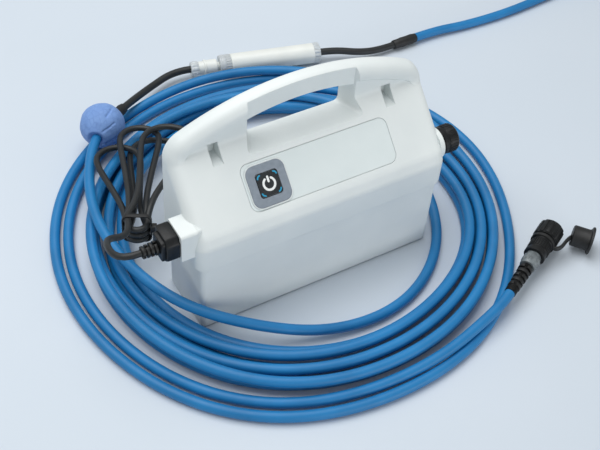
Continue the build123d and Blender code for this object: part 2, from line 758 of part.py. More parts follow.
def radii(points):
    # Bend radius at each inner point, from the room on the runs beside it
    found = []
    last = len(points) - 2
    for i, (a, b, c) in enumerate(zip(points, points[1:], points[2:])):
        u = (b - a).normalized()
        v = (c - b).normalized()
        half = math.acos(max(-1, min(1, u.dot(v)))) / 2
        before = (b - a).length * (0.9 if i == 0 else 0.45)
        after = (c - b).length * (0.9 if i + 1 == last else 0.45)
        found.append(min(before, after) / math.tan(half))
    return found


def bent_tube(points, d, name):
    # Round tube on straight runs joined by arcs
    rounds = radii(points)
    with BuildPart() as tube:
        with BuildLine() as tube_path:
            FilletPolyline(*points, radius=rounds)
        tube_wire = tube_path.wires()[0]
        with BuildSketch(Plane(origin=points[0], z_dir=(points[1] - points[0]).normalized())):
            Circle(d / 2)
        sweep(path=tube_wire)
    full = tube_wire.length * math.pi * d ** 2 / 4
    print(name, "length", round(tube_wire.length), "least radius", round(min(rounds), 1),
          "volume ratio", round(tube.part.volume / full, 4))
    tube.part.label = name
    export_step(tube.part, "parts/" + name + ".step")
    return tube.part


def keep(part, name):
    part.label = name
    export_step(part, "parts/" + name + ".step")


def rod(name, origin, direction, pieces, bores=()):
    # Turned piece on an axis: pieces and bores are (from, to, radius)
    with BuildPart() as turned:
        for low, high, r in pieces:
            with BuildSketch(Plane(origin=origin + direction * low, z_dir=direction)):
                Circle(r)
            extrude(amount=high - low)
        for low, high, r in bores:
            with BuildSketch(Plane(origin=origin + direction * low, z_dir=direction)):
                Circle(r)
            extrude(amount=high - low, mode=Mode.SUBTRACT)
    keep(turned.part, name)


# Connector at the outer end of the cable, resting on the outermost turn
plug_mid = ring_spots[0]
boot_long = 44
collet_end = 62
body_end = 90
nose_end = 114
coupling_r = 14.5
boot_steps = [(0, 7, 6.4), (7, boot_long, 6.2)]
boot_steps = boot_steps + [(9 + 7 * k, 13 + 7 * k, 6.9 + 0.25 * k) for k in range(0, 5)]
rod("cable_boot", plug_mid, boot_head, boot_steps)
rod("cable_collet", plug_mid, boot_head, [(boot_long, collet_end, 9), (boot_long + 5, boot_long + 13, 10)])
body_steps = [(collet_end, body_end + 3, 11.2), (collet_end, collet_end + 6, 12.2),
              (collet_end + 8, body_end - 8, 12.2), (body_end - 6, body_end - 2, 12.2),
              (body_end + 3, nose_end, 9.6)]
rod("connector_body", plug_mid, boot_head, body_steps, [(nose_end - 9, nose_end, 7.6)])
with BuildPart() as connector_pins:
    with BuildSketch(Plane(origin=plug_mid + boot_head * (nose_end - 9), z_dir=boot_head)):
        with PolarLocations(4, 3):
            Circle(1.2)
    extrude(amount=7)
keep(connector_pins.part, "connector_pins")
with BuildPart() as coupling_ring:
    with BuildSketch(Plane(origin=plug_mid + boot_head * body_end, z_dir=boot_head)):
        Circle(coupling_r)
        with PolarLocations(coupling_r + 1.6, 12):
            Circle(2.6, mode=Mode.SUBTRACT)
        Circle(11.5, mode=Mode.SUBTRACT)
    extrude(amount=nose_end - body_end - 2)
keep(coupling_ring.part, "coupling_ring")

# Dust cap swung aside on its strap, its flange on the floor
cap_dir = Vector(0.66, -0.75, -0.05).normalized()
cap_side = boot_head.cross(Vector(0, 0, 1)).normalized()
cap_spot = plug_mid + boot_head * (nose_end + 2) + cap_side * 17 + Vector(6, -2, 0)
cap_mid = Vector(cap_spot.X, cap_spot.Y, 17.4)
with BuildPart() as dust_cap:
    with BuildSketch(Plane(origin=cap_mid, z_dir=cap_dir)):
        Circle(12)
    extrude(amount=22)
    with BuildSketch(Plane(origin=cap_mid + cap_dir * 20, z_dir=cap_dir)):
        Circle(16)
    extrude(amount=3)
    with BuildSketch(Plane(origin=cap_mid + cap_dir * 5, z_dir=cap_dir)):
        Circle(10)
    extrude(amount=30, mode=Mode.SUBTRACT)
    with BuildSketch(Plane(origin=plug_mid + boot_head * (body_end - 6), z_dir=boot_head)):
        Circle(14)
        Circle(12.2, mode=Mode.SUBTRACT)
    extrude(amount=4)
    strap_start = plug_mid + boot_head * (body_end - 4) + cap_side * 13
    strap_points = (strap_start, strap_start + cap_side * 7,
                    plug_mid + boot_head * (nose_end - 3) + cap_side * 21, cap_mid + cap_dir * 3)
    with BuildLine() as strap_path:
        FilletPolyline(*strap_points, radius=[4, 6])
    with BuildSketch(Plane(origin=strap_start, x_dir=boot_head, z_dir=cap_side)):
        Rectangle(3.4, 6)
    sweep(path=strap_path.wires()[0])
keep(dust_cap.part, "dust_cap")

# Float on the inner end of the cable
float_entry = ring_spots[-1] + float_in * cable_d
float_mid = float_entry + float_in * (float_r - 12)
float_out = Vector(0.8, 0.58, -0.2).normalized()
shrink_r = 6.6
with BuildPart() as float_ball:
    with Locations(float_mid):
        Sphere(float_r)
    with BuildSketch(Plane(origin=float_entry, z_dir=float_in)):
        Circle(cable_d / 2 + 1)
    extrude(amount=-30, mode=Mode.SUBTRACT)
    with BuildSketch(Plane(origin=float_mid + float_out * (float_r - 8), z_dir=float_out)):
        Circle(shrink_r + 0.4)
    extrude(amount=30, mode=Mode.SUBTRACT)
keep(float_ball.part, "float_ball")

sleeve_foot = float_mid + float_out * (float_r - 8)
rod("float_sleeve", sleeve_foot, float_out, [(0, 30, shrink_r - 0.4), (10, 26, shrink_r)])

# Swivel lying behind the ring of cable
swivel_start = Vector(26 + mid_x, 327, 13.4)
swivel_dir = Vector(0.971, -0.239, 0).normalized()
lead_start = float_mid + float_out * (float_r + 22)
first_points = (lead_start, lead_start + float_out * 20, Vector(-36 + mid_x, 316, 14),
                swivel_start - swivel_dir * 22, swivel_start)
first_lead = bent_tube(first_points, lead_d, "first_lead")

rod("gland_nut", swivel_start, swivel_dir, [(0, 10, 9), (2, 8, 9.6)])
shaft_r = 5
rotor_steps = [(10, 17, 7.6), (17, 20, 9.4), (20, 34, 8.4), (34, 140, shaft_r)]
rod("swivel_rotor", swivel_start, swivel_dir, rotor_steps)
rod("slip_rings", swivel_start, swivel_dir, [(74, 77, 7), (82, 85, 7), (90, 93, 7)], [(70, 100, shaft_r)])
rod("swivel_ring", swivel_start, swivel_dir, [(37, 52, 12.6), (40, 44, 13.2)], [(37, 52, shaft_r + 0.5)])
rod("swivel_tube", swivel_start, swivel_dir, [(52, 162, 12)], [(52, 162, 10.4)])
rod("shaft_seal", swivel_start, swivel_dir, [(52, 57, 10.4)], [(52, 57, shaft_r + 0.3)])
bearing_steps = [(59, 67, 10.4), (112, 120, 10.4)]
rod("swivel_bearings", swivel_start, swivel_dir, bearing_steps, [(59, 120, shaft_r + 0.3)])
with BuildPart() as brush_block:
    with BuildSketch(Plane(origin=swivel_start + swivel_dir * 72, x_dir=(0, 0, 1), z_dir=swivel_dir)):
        Circle(10.4)
        Circle(7.4, mode=Mode.SUBTRACT)
        with Locations((0, 12)):
            Rectangle(30, 20, mode=Mode.SUBTRACT)
    extrude(amount=24)
keep(brush_block.part, "brush_block")
with BuildPart() as swivel_cap:
    with BuildSketch(Plane(origin=swivel_start + swivel_dir * 162, z_dir=swivel_dir)):
        Circle(12.6)
        with PolarLocations(13.2, 16):
            Circle(1.3, mode=Mode.SUBTRACT)
    extrude(amount=8)
keep(swivel_cap.part, "swivel_cap")

# Second lead, its sleeve and the tail of the cable, on to a small put-away coil
second_start = swivel_start + swivel_dir * 170
sleeve_start = Vector(293 + mid_x, 262, 8)
sleeve_dir = Vector(1, 0.02, 0).normalized()
second_points = (second_start, second_start + swivel_dir * 22, Vector(243 + mid_x, 266, 10),
                 sleeve_start - sleeve_dir * 22, sleeve_start)
second_lead = bent_tube(second_points, lead_d, "second_lead")
rod("tail_sleeve", sleeve_start, sleeve_dir, [(0, 36, shrink_r - 0.4), (6, 30, shrink_r)])

coil_mid = Vector(647 + mid_x, 340, 0)
coil_lift = 2.2
coil_stations = ((0, 71, 0), (1.5, 52, 0), (1.75, 50, 0.5), (2, 50, 1), (3.4, 75, 1))


def coil_point(u):
    for (u0, r0, k0), (u1, r1, k1) in zip(coil_stations, coil_stations[1:]):
        if u <= u1:
            break
    w = (u - u0) / (u1 - u0)
    r = r0 + (r1 - r0) * w
    k = k0 + (k1 - k0) * w
    a = math.radians(-90 + 360 * u)
    return coil_mid + Vector(r * math.cos(a), r * math.sin(a), cable_d / 2 + coil_lift + k * layer_step)


coil_end = coil_stations[-1][0]
coil_marks = [0.25 * k for k in range(0, 14)] + [coil_end]
coil_spots = [coil_point(u) for u in coil_marks]
coil_heads = [heading(coil_point, u, 0, coil_end) for u in coil_marks]
coil_heads[0] = Vector(coil_heads[0].X, coil_heads[0].Y, 0).normalized()
coil_heads[-1] = Vector(coil_heads[-1].X, coil_heads[-1].Y, -0.06).normalized()
with BuildPart() as tail_coil:
    with BuildLine() as coil_path:
        Line(coil_spots[0] - coil_heads[0] * cable_d, coil_spots[0])
        for i in range(len(coil_marks) - 1):
            join(coil_spots[i], coil_heads[i], coil_spots[i + 1], coil_heads[i + 1])
        Line(coil_spots[-1], coil_spots[-1] + coil_heads[-1] * cable_d)
    coil_wire = coil_path.wires()[0]
    with BuildSketch(Plane(origin=coil_spots[0] - coil_heads[0] * cable_d, z_dir=coil_heads[0])):
        Circle(cable_d / 2)
    sweep(path=coil_wire)
print("tail coil length", round(coil_wire.length), "least gap", round(least_gap(coil_wire, cable_d), 2))
coil_full = coil_wire.length * math.pi * cable_d ** 2 / 4
print("tail coil volume ratio", round(tail_coil.part.volume / coil_full, 4))
keep(tail_coil.part, "tail_coil")

tail_start = sleeve_start + sleeve_dir * 36
tail_end = coil_spots[0] - coil_heads[0] * cable_d
tail_points = (tail_start, tail_start + sleeve_dir * 34, Vector(407 + mid_x, 258, 6.2),
               Vector(477 + mid_x, 256, 6), Vector(547 + mid_x, 262, 6.2), tail_end - coil_heads[0] * 40,
               tail_end)
cable_tail = bent_tube(tail_points, cable_d, "cable_tail")

end_start = coil_spots[-1] + coil_heads[-1] * cable_d
end_steps = [(0, 24, 6.2), (6, 12, 6.8), (14, 20, 7.4), (24, 32, 9), (32, 58, 11), (36, 42, 11.8)]
rod("tail_connector", end_start, coil_heads[-1], end_steps, [(48, 58, 8.6)])
with BuildPart() as tail_tie:
    with BuildSketch(Plane(origin=coil_mid + Vector(0, 6, 0), x_dir=(1, 0, 0), z_dir=(0, -1, 0))):
        with Locations((-57, coil_lift + layer_step)):
            Rectangle(31, 2 * layer_step + 3)
            Rectangle(28, 2 * layer_step, mode=Mode.SUBTRACT)
    extrude(amount=12)
keep(tail_tie.part, "tail_tie")

# Mains lead: appliance plug in the inlet, ribbed boot, free stretch, tied hank, wall plug
plug_face = inlet_face
with BuildPart() as mains_plug:
    with BuildSketch(across(plug_face)):
        with Locations((inlet_y, inlet_z)):
            RectangleRounded(16.4, 23.4, 1.6)
    extrude(amount=15.5)
    with BuildSketch(Plane(origin=(plug_face, inlet_y, inlet_z), x_dir=(0, 1, 0), z_dir=(1, 0, 0))):
        with BuildLine():
            Polyline((-8, -15.5), (14, -15.5), (14, 15.5), (-8, 15.5), (-14, 9.5), (-14, -9.5), close=True)
        make_face()
    extrude(amount=-14)
    with BuildSketch(across(plug_face - 14)):
        with Locations((inlet_y, inlet_z)):
            RectangleRounded(22, 25, 4)
    extrude(amount=-4)
    with BuildSketch(across(plug_face - 2)):
        with Locations((inlet_y - 2.5, inlet_z - 7), (inlet_y + 2.5, inlet_z), (inlet_y - 2.5, inlet_z + 7)):
            Rectangle(4.8, 2.8)
    extrude(amount=30, mode=Mode.SUBTRACT)
keep(mains_plug.part, "mains_plug")

boot_x = plug_face - 18
mains_axis = Vector(-1, 0, 0)
mains_boot_at = Vector(boot_x, inlet_y, inlet_z)
boot_reach = 17
ribs = [(0, boot_reach, 4.6), (0, 3, 7.5), (4.5, 7, 7.1), (8.5, 11, 6.7), (12.5, 15, 6.3)]
rod("mains_boot", mains_boot_at, mains_axis, ribs)

hank_near = Vector(-164 + mid_x, 63, 0)
hank_near_r = 7.2
hank_far_r = 28
hank_rise = 17.025
hank_near_z = cable_d / 2 + 0.2 + 2 * layer_step + (cable_d + mains_d) / 2 + hank_rise
hank_slope = -0.14
hank_level = mains_d + 1.7
hank_angle = 62
hank_axis = Vector(math.cos(math.radians(hank_angle)), math.sin(math.radians(hank_angle)), 0)
hank_loops = ((3, 52, 140), (2, 62, 150), (1, 76, 120), (0, 58, 140))


def hank_spot(level, angle, length, side, place):
    # Point and heading on one loop: place 0 near left, 1 near mid, 2 near right, 3 to 5 the far arc
    axis = Vector(math.cos(math.radians(angle)), math.sin(math.radians(angle)), 0)
    left = Vector(-axis.Y, axis.X, 0)
    lean = math.asin((hank_far_r - hank_near_r) / length)
    out = left * (math.cos(lean) * side) - axis * math.sin(lean)
    if place == 1:
        out = axis * -1
    if place == 4:
        out = axis
    if place < 3:
        flat = hank_near + out * hank_near_r
    else:
        flat = hank_near + axis * length + out * hank_far_r
    go = Vector(out.Y, -out.X, 0)
    run = (flat - hank_near).dot(hank_axis)
    spot = Vector(flat.X, flat.Y, hank_near_z + hank_slope * run + level * hank_level)
    way = Vector(go.X, go.Y, hank_slope * go.dot(hank_axis)).normalized()
    return spot, way


hank_line = []
for index, (level, angle, length) in enumerate(hank_loops):
    hank_line.append(hank_spot(level, angle, length, 1, 0))
    hank_line.append(hank_spot(level, angle, length, 1, 5))
    hank_line.append(hank_spot(level, angle, length, 0, 4))
    if index < len(hank_loops) - 1:
        hank_line.append(hank_spot(level, angle, length, -1, 3))
        next_level, next_angle, next_length = hank_loops[index + 1]
        hank_line.append(hank_spot(next_level, next_angle, next_length, -1, 2))
        hank_line.append(hank_spot(next_level, next_angle, next_length, 0, 1))
with BuildPart() as mains_hank:
    with BuildLine() as hank_path:
        Line(hank_line[0][0] - hank_line[0][1] * mains_d, hank_line[0][0])
        for (p, t), (q, s) in zip(hank_line, hank_line[1:]):
            join(p, t, q, s)
        Line(hank_line[-1][0], hank_line[-1][0] + hank_line[-1][1] * mains_d)
    hank_wire = hank_path.wires()[0]
    with BuildSketch(Plane(origin=hank_line[0][0] - hank_line[0][1] * mains_d, z_dir=hank_line[0][1])):
        Circle(mains_d / 2)
    sweep(path=hank_wire)
print("mains hank length", round(hank_wire.length), "least gap", round(least_gap(hank_wire, mains_d), 2))
hank_full = hank_wire.length * math.pi * mains_d ** 2 / 4
print("mains hank volume ratio", round(mains_hank.part.volume / hank_full, 4))
keep(mains_hank.part, "mains_hank")
hank_start = hank_line[0][0] - hank_line[0][1] * mains_d
hank_end = hank_line[-1][0] + hank_line[-1][1] * mains_d

free_start = Vector(boot_x - boot_reach, inlet_y, inlet_z)
free_points = (free_start, free_start + Vector(-24, 0, 0), Vector(-214 + mid_x, 30, 108),
               hank_start - hank_line[0][1] * 24, hank_start)
mains_lead = bent_tube(free_points, mains_d, "mains_lead")

wall_at = Vector(31 + mid_x, 150, 19)
wall_dir = Vector(0, -1, 0)
end_points = (hank_end, hank_end + hank_line[-1][1] * 30, Vector(3 + mid_x, 196, 26), wall_at - wall_dir * 26,
              wall_at)
wall_lead = bent_tube(end_points, mains_d, "wall_lead")
rod("wall_plug", wall_at, wall_dir, [(0, 14, 6.5), (14, 22, 12), (22, 40, 18)], [(34, 40, 2.4)])
with BuildPart() as wall_pins:
    with BuildSketch(Plane(origin=wall_at + wall_dir * 40, x_dir=(1, 0, 0), z_dir=wall_dir)):
        with GridLocations(19, 1, 2, 1):
            Circle(2.4)
    extrude(amount=19)
keep(wall_pins.part, "wall_pins")

# Slim tie round the narrow end of the hank
tie_dir = Vector(hank_axis.X, hank_axis.Y, hank_slope).normalized()
tie_at = hank_near + Vector(0, 0, hank_near_z + 1.5 * hank_level) - tie_dir * 2.5
tie_wide = 2 * (hank_near_r + 1.9) + mains_d
tie_high = 3 * hank_level + mains_d + 2
with BuildPart() as hank_tie:
    with BuildSketch(Plane(origin=tie_at, x_dir=hank_axis.cross(Vector(0, 0, 1)), z_dir=tie_dir)):
        RectangleRounded(tie_wide + 2.8, tie_high + 2.8, 5.4)
        RectangleRounded(tie_wide, tie_high, 4, mode=Mode.SUBTRACT)
    extrude(amount=5)
keep(hank_tie.part, "hank_tie")
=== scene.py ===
import math
import bpy
import bmesh
from mathutils import Matrix, Vector, noise


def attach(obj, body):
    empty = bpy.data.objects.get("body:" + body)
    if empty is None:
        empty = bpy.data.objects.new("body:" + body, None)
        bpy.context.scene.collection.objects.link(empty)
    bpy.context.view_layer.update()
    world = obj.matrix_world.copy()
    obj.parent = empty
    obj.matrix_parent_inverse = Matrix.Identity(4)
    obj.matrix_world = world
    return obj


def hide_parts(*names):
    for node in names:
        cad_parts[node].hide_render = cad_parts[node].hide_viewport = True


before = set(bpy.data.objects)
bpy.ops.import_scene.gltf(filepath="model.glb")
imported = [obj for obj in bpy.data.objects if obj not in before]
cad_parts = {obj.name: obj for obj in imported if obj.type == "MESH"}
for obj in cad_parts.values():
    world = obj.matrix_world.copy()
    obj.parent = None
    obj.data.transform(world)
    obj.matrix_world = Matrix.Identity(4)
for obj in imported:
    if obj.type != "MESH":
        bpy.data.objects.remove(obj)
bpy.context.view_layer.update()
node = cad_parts


# Lower case: an injection moulded ABS tub. Spark eroded tool faces leave a fine satin grain,
# the edges are slightly rounded by the tool, and handling leaves faint cloudy smudges on the white.
def linear(code):
    parts = [int(code[i:i + 2], 16) / 255 for i in (1, 3, 5)]
    return (*[c / 12.92 if c < 0.04045 else ((c + 0.055) / 1.055) ** 2.4 for c in parts], 1.0)


def add(tree, kind, settings, inputs):
    made = tree.nodes.new(kind)
    for name, value in settings.items():
        setattr(made, name, value)
    for name, value in inputs.items():
        if isinstance(value, bpy.types.NodeSocket):
            tree.links.new(value, made.inputs[name])
        else:
            made.inputs[name].default_value = value
    return made


def finish(name, fixed):
    skin = bpy.data.materials.new(name)
    skin.use_nodes = True
    tree = skin.node_tree
    shader = tree.nodes["Principled BSDF"]
    for socket, value in fixed.items():
        shader.inputs[socket].default_value = value
    return skin, tree, shader, add(tree, "ShaderNodeTexCoord", {}, {}).outputs["Object"]


def per_metre(size_mm):
    return 1000 / size_mm


def mottle(tree, where, size_mm, low, high, light, dark):
    # Two shades of one colour in soft clouds of this size
    cloud = add(tree, "ShaderNodeTexNoise", {}, {"Vector": where, "Scale": per_metre(size_mm), "Detail": 4.0})
    ramp = add(tree, "ShaderNodeValToRGB", {}, {"Fac": cloud.outputs["Fac"]})
    ramp.color_ramp.elements[0].position = low
    ramp.color_ramp.elements[0].color = linear(dark)
    ramp.color_ramp.elements[1].position = high
    ramp.color_ramp.elements[1].color = linear(light)
    return ramp.outputs["Color"]


def rough(tree, where, size_mm, least, most):
    cloud = add(tree, "ShaderNodeTexNoise", {}, {"Vector": where, "Scale": per_metre(size_mm), "Detail": 3.0})
    span = add(tree, "ShaderNodeMapRange", {}, {
        "Value": cloud.outputs["Fac"], "To Min": least, "To Max": most})
    return span.outputs["Result"]


def grain(tree, where, size_mm, depth_mm, strength, edge_mm=0):
    # Fine surface texture, drawn coarser than it is so that it shows, with the tool's rounding of sharp
    # edges where that is given
    fine = add(tree, "ShaderNodeTexNoise", {}, {"Vector": where, "Scale": per_metre(size_mm), "Detail": 2.0})
    lift = add(tree, "ShaderNodeBump", {}, {
        "Height": fine.outputs["Fac"], "Distance": depth_mm / 1000, "Strength": strength})
    if edge_mm:
        edge = add(tree, "ShaderNodeBevel", {"samples": 4}, {"Radius": edge_mm / 1000})
        tree.links.new(edge.outputs["Normal"], lift.inputs["Normal"])
    return lift.outputs["Normal"]


def dress(name, skin):
    node[name].data.materials.clear()
    node[name].data.materials.append(skin)


white_abs, tree, shader, where = finish("moulded_white_abs", {"IOR": 1.53})
# Spark grain is really about 0.2 mm; it is drawn at 0.8 mm so that it still breaks up the highlights
tree.links.new(mottle(tree, where, 70, 0.3, 0.7, "#e4eaea", "#dbe2e3"), shader.inputs["Base Color"])
tree.links.new(rough(tree, where, 14, 0.38, 0.52), shader.inputs["Roughness"])
tree.links.new(grain(tree, where, 0.8, 0.05, 0.35, 0.8), shader.inputs["Normal"])
dress("lower_case", white_abs)

# Seal and feet: moulded black rubber, dull, with a fine dusty bloom.
# The seal lies between the case halves and the feet are pressed into pockets of the base.
black_rubber, tree, shader, where = finish("moulded_black_rubber", {"IOR": 1.5})
tree.links.new(mottle(tree, where, 6, 0.3, 0.75, "#2b2e31", "#191b1d"), shader.inputs["Base Color"])
tree.links.new(rough(tree, where, 5, 0.6, 0.8), shader.inputs["Roughness"])
tree.links.new(grain(tree, where, 0.7, 0.05, 0.3), shader.inputs["Normal"])
for name in ("case_seal", "rubber_feet"):
    dress(name, black_rubber)

# Case and board screws: zinc plated steel with hexagon sockets, driven up from below.
# Plating is bright with a faint grey mottling.
zinc_steel, tree, shader, where = finish("zinc_plated_steel", {"Metallic": 1.0})
tree.links.new(mottle(tree, where, 1.5, 0.3, 0.7, "#b4b7bc", "#94979d"), shader.inputs["Base Color"])
tree.links.new(rough(tree, where, 1.2, 0.28, 0.42), shader.inputs["Roughness"])
for name in ("case_screws", "board_screws"):
    dress(name, zinc_steel)

# Main board and key board: glass fibre laminate under green solder mask.
# The copper below shows as slightly lighter bands.
solder_mask, tree, shader, where = finish("green_solder_mask", {"IOR": 1.5, "Roughness": 0.35})
bands = add(tree, "ShaderNodeTexBrick", {}, {
    "Vector": where, "Scale": per_metre(9), "Color1": linear("#1c5a35"), "Color2": linear("#20663c"),
    "Mortar": linear("#17492c")})
tree.links.new(bands.outputs["Color"], shader.inputs["Base Color"])
for name in ("main_board", "key_board"):
    dress(name, solder_mask)

# Transformer, choke and their windings: pressed ferrite and enamelled copper wire.
# Ferrite is a dull dark ceramic, the wire a banded warm brown.
ferrite, tree, shader, where = finish("pressed_ferrite", {"IOR": 1.6})
tree.links.new(mottle(tree, where, 2, 0.3, 0.7, "#45464a", "#35363a"), shader.inputs["Base Color"])
tree.links.new(rough(tree, where, 2, 0.6, 0.75), shader.inputs["Roughness"])
dress("transformer_core", ferrite)
copper_wire, tree, shader, where = finish("enamelled_copper_wire", {"Metallic": 0.7, "Roughness": 0.3})
turns = add(tree, "ShaderNodeTexWave", {"bands_direction": "Z"},
            {"Vector": where, "Scale": per_metre(2.4), "Distortion": 0.6})
shades = add(tree, "ShaderNodeValToRGB", {}, {"Fac": turns.outputs["Fac"]})
shades.color_ramp.elements[0].color = linear("#6d3c1a")
shades.color_ramp.elements[1].color = linear("#b87333")
tree.links.new(shades.outputs["Color"], shader.inputs["Base Color"])
for name in ("transformer_coil", "filter_choke"):
    dress(name, copper_wire)

# Capacitors and fuse: aluminium cans in shrunk blue sleeves, a glass fuse with metal caps.
# The sleeve is a glossy film with a slight orange peel.
can_sleeve, tree, shader, where = finish("shrunk_blue_can_sleeve", {"IOR": 1.5, "Roughness": 0.25})
tree.links.new(mottle(tree, where, 8, 0.3, 0.7, "#2c3f78", "#22325f"), shader.inputs["Base Color"])
tree.links.new(grain(tree, where, 1.5, 0.05, 0.2), shader.inputs["Normal"])
for name in ("bulk_capacitors", "output_capacitors"):
    dress(name, can_sleeve)
dress("mains_fuse", zinc_steel)

# Heat sink: extruded aluminium with die lines along its length; the transistors are clamped to it.
# Die lines are really about 0.1 mm and are drawn at 0.6 mm.
extruded_aluminium, tree, shader, where = finish("extruded_aluminium", {"Metallic": 1.0})
tree.links.new(mottle(tree, where, 3, 0.3, 0.7, "#c2c5c9", "#adb0b5"), shader.inputs["Base Color"])
tree.links.new(rough(tree, where, 0.6, 0.3, 0.5), shader.inputs["Roughness"])
dress("heat_sink", extruded_aluminium)

# Upper case: the same white ABS, moulded in one with the arched carrying bar and its hand opening,
# the sloped control field, the inlet block and the socket collar.
dress("upper_case", white_abs)

# Face sheet: a polyester film with a hard satin coat, laid into the recess of the slope.
# It is a shade greener than the case and almost without grain.
satin_film, tree, shader, where = finish("satin_polyester_film", {"IOR": 1.57})
tree.links.new(mottle(tree, where, 60, 0.3, 0.7, "#dfe8e9", "#d7e1e2"), shader.inputs["Base Color"])
tree.links.new(rough(tree, where, 20, 0.3, 0.4), shader.inputs["Roughness"])
dress("face_sheet", satin_film)

# Bezel: a satin blue-grey moulded square round the key, clipped through the sheet.
# Fine grain gives it an even, slightly metallic grey, and a narrow white lip frames it.
grey_bezel, tree, shader, where = finish("moulded_grey_bezel", {"IOR": 1.5})
tree.links.new(mottle(tree, where, 5, 0.3, 0.7, "#8b95a1", "#7f8994"), shader.inputs["Base Color"])
tree.links.new(rough(tree, where, 3, 0.38, 0.5), shader.inputs["Roughness"])
tree.links.new(grain(tree, where, 0.7, 0.06, 0.5, 0.5), shader.inputs["Normal"])
dress("key_bezel", grey_bezel)


def arc(middle, radius, start, stop, steps=8):
    # Points in millimetres along an arc between two angles in degrees
    turns = [math.radians(start + (stop - start) * k / steps) for k in range(steps + 1)]
    return [(middle[0] + radius * math.cos(a), middle[1] + radius * math.sin(a)) for a in turns]


def rounded(half_wide, half_high, corner):
    x, y = half_wide - corner, half_high - corner
    return (arc((x, y), corner, 0, 90) + arc((-x, y), corner, 90, 180) + arc((-x, -y), corner, 180, 270)
            + arc((x, -y), corner, 270, 360))


def as_mesh(form):
    bmesh.ops.recalc_face_normals(form, faces=form.faces)
    mesh = bpy.data.meshes.new("form")
    form.to_mesh(mesh)
    form.free()
    return mesh


def prism(outline, low, high, hole=(), top=()):
    # Solid between two levels in millimetres, straight or tapered to a top outline; all have as many points
    form = bmesh.new()
    levels = [(outline, low), (top or outline, high)] + ([(hole, high), (hole, low)] if hole else [])
    rows = [[form.verts.new((x / 1000, y / 1000, z / 1000)) for x, y in line] for line, z in levels]
    for row, after in zip(rows, rows[1:] + (rows[:1] if hole else [])):
        for k in range(len(row)):
            form.faces.new((row[k - 1], row[k], after[k], after[k - 1]))
    if not hole:
        form.faces.new(rows[0])
        form.faces.new(rows[-1])
    return as_mesh(form)


def band(half_wide, half_high, corner, wall, low, high):
    # Rounded frame with an even wall between two levels in millimetres
    hole = rounded(half_wide - wall, half_high - wall, corner - wall)
    return prism(rounded(half_wide, half_high, corner), low, high, hole)


def placed(mesh, place):
    mesh.transform(place)
    return mesh


def softened(mesh, edge_mm, place):
    # The mesh with its sharp edges rounded, put in its place
    blank = bpy.data.objects.new("blank", mesh)
    bpy.context.scene.collection.objects.link(blank)
    bevel = blank.modifiers.new("edges", "BEVEL")
    bevel.width = edge_mm / 1000
    bevel.segments = 2
    bevel.limit_method = "ANGLE"
    bevel.angle_limit = math.radians(40)
    solid = bpy.data.meshes.new_from_object(blank.evaluated_get(bpy.context.evaluated_depsgraph_get()))
    bpy.data.objects.remove(blank)
    return placed(solid, place)


def fit(name, meshes, skin, slot, body, *stands_for):
    # One piece out of meshes in their places, riding on a body
    form = bmesh.new()
    for mesh in meshes:
        form.from_mesh(mesh)
    for face in form.faces:
        face.material_index = 0
    solid = bpy.data.meshes.new(name)
    form.to_mesh(solid)
    form.free()
    solid.materials.append(skin)
    solid.shade_smooth()
    solid.set_sharp_from_angle(angle=math.radians(38))
    made = bpy.data.objects.new(name, solid)
    bpy.context.scene.collection.objects.link(made)
    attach(made, body)
    if stands_for:
        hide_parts(*stands_for)
    return made


def facing(origin_mm, x_way, y_way, z_way):
    turned = Matrix((x_way, y_way, z_way)).transposed().to_4x4()
    return Matrix.Translation(Vector(origin_mm) / 1000) @ turned


slope_turn = math.radians(44)
slope_up = Vector((0, math.cos(slope_turn), math.sin(slope_turn)))
slope_out = Vector((0, -math.sin(slope_turn), math.cos(slope_turn)))
slope_foot = Vector((-60.1, -37.2, 131.8))
key_up_slope = 31.4
on_key = facing(slope_foot + slope_up * key_up_slope, Vector((1, 0, 0)), slope_up, slope_out)
bezel_lip = band(half_wide=22.4, half_high=22.4, corner=10.4, wall=1.35, low=-0.2, high=0.9)
fit("bezel_lip", [softened(bezel_lip, 0.35, on_key)], white_abs, "case_white", "case")

# Power key: a glossy black polycarbonate cap that sinks a millimetre into the bezel.
# Its stand-by sign and four corner marks are printed on in white and light blue, in inks duller than the cap.
gloss_key, tree, shader, where = finish("gloss_black_key", {"IOR": 1.58})
tree.links.new(mottle(tree, where, 9, 0.3, 0.8, "#2c3135", "#1f2326"), shader.inputs["Base Color"])
tree.links.new(rough(tree, where, 6, 0.2, 0.34), shader.inputs["Roughness"])
tree.links.new(grain(tree, where, 1.2, 0.02, 0.2, 0.4), shader.inputs["Normal"])
dress("power_key", gloss_key)
white_print, tree, shader, where = finish("white_key_print", {"IOR": 1.5, "Roughness": 0.4})
tree.links.new(mottle(tree, where, 2, 0.3, 0.7, "#f4f6f6", "#e6eaea"), shader.inputs["Base Color"])
blue_print, tree, shader, where = finish("light_blue_key_print", {"IOR": 1.5, "Roughness": 0.4})
tree.links.new(mottle(tree, where, 2, 0.3, 0.7, "#2ba0c9", "#2390b8"), shader.inputs["Base Color"])
print_low, print_high = 1.9, 2.12
sign_r, stroke_r = 6.1, 1.15
first_end, last_end = 123, 417
stroke_top, stroke_foot = 7.0, 2.4
mark_mid, mark_out, mark_in = 6.9, 4.2, 2.7
first_cap = arc((0, 0), sign_r, first_end, first_end, 1)[0]
last_cap = arc((0, 0), sign_r, last_end, last_end, 1)[0]
open_ring = arc((0, 0), sign_r + stroke_r, first_end, last_end, 40)
open_ring += arc(last_cap, stroke_r, last_end, last_end + 180)
open_ring += arc((0, 0), sign_r - stroke_r, last_end, first_end, 40)
open_ring += arc(first_cap, stroke_r, first_end + 180, first_end + 360)
stroke = arc((0, stroke_top), stroke_r, 0, 180) + arc((0, stroke_foot), stroke_r, 180, 360)
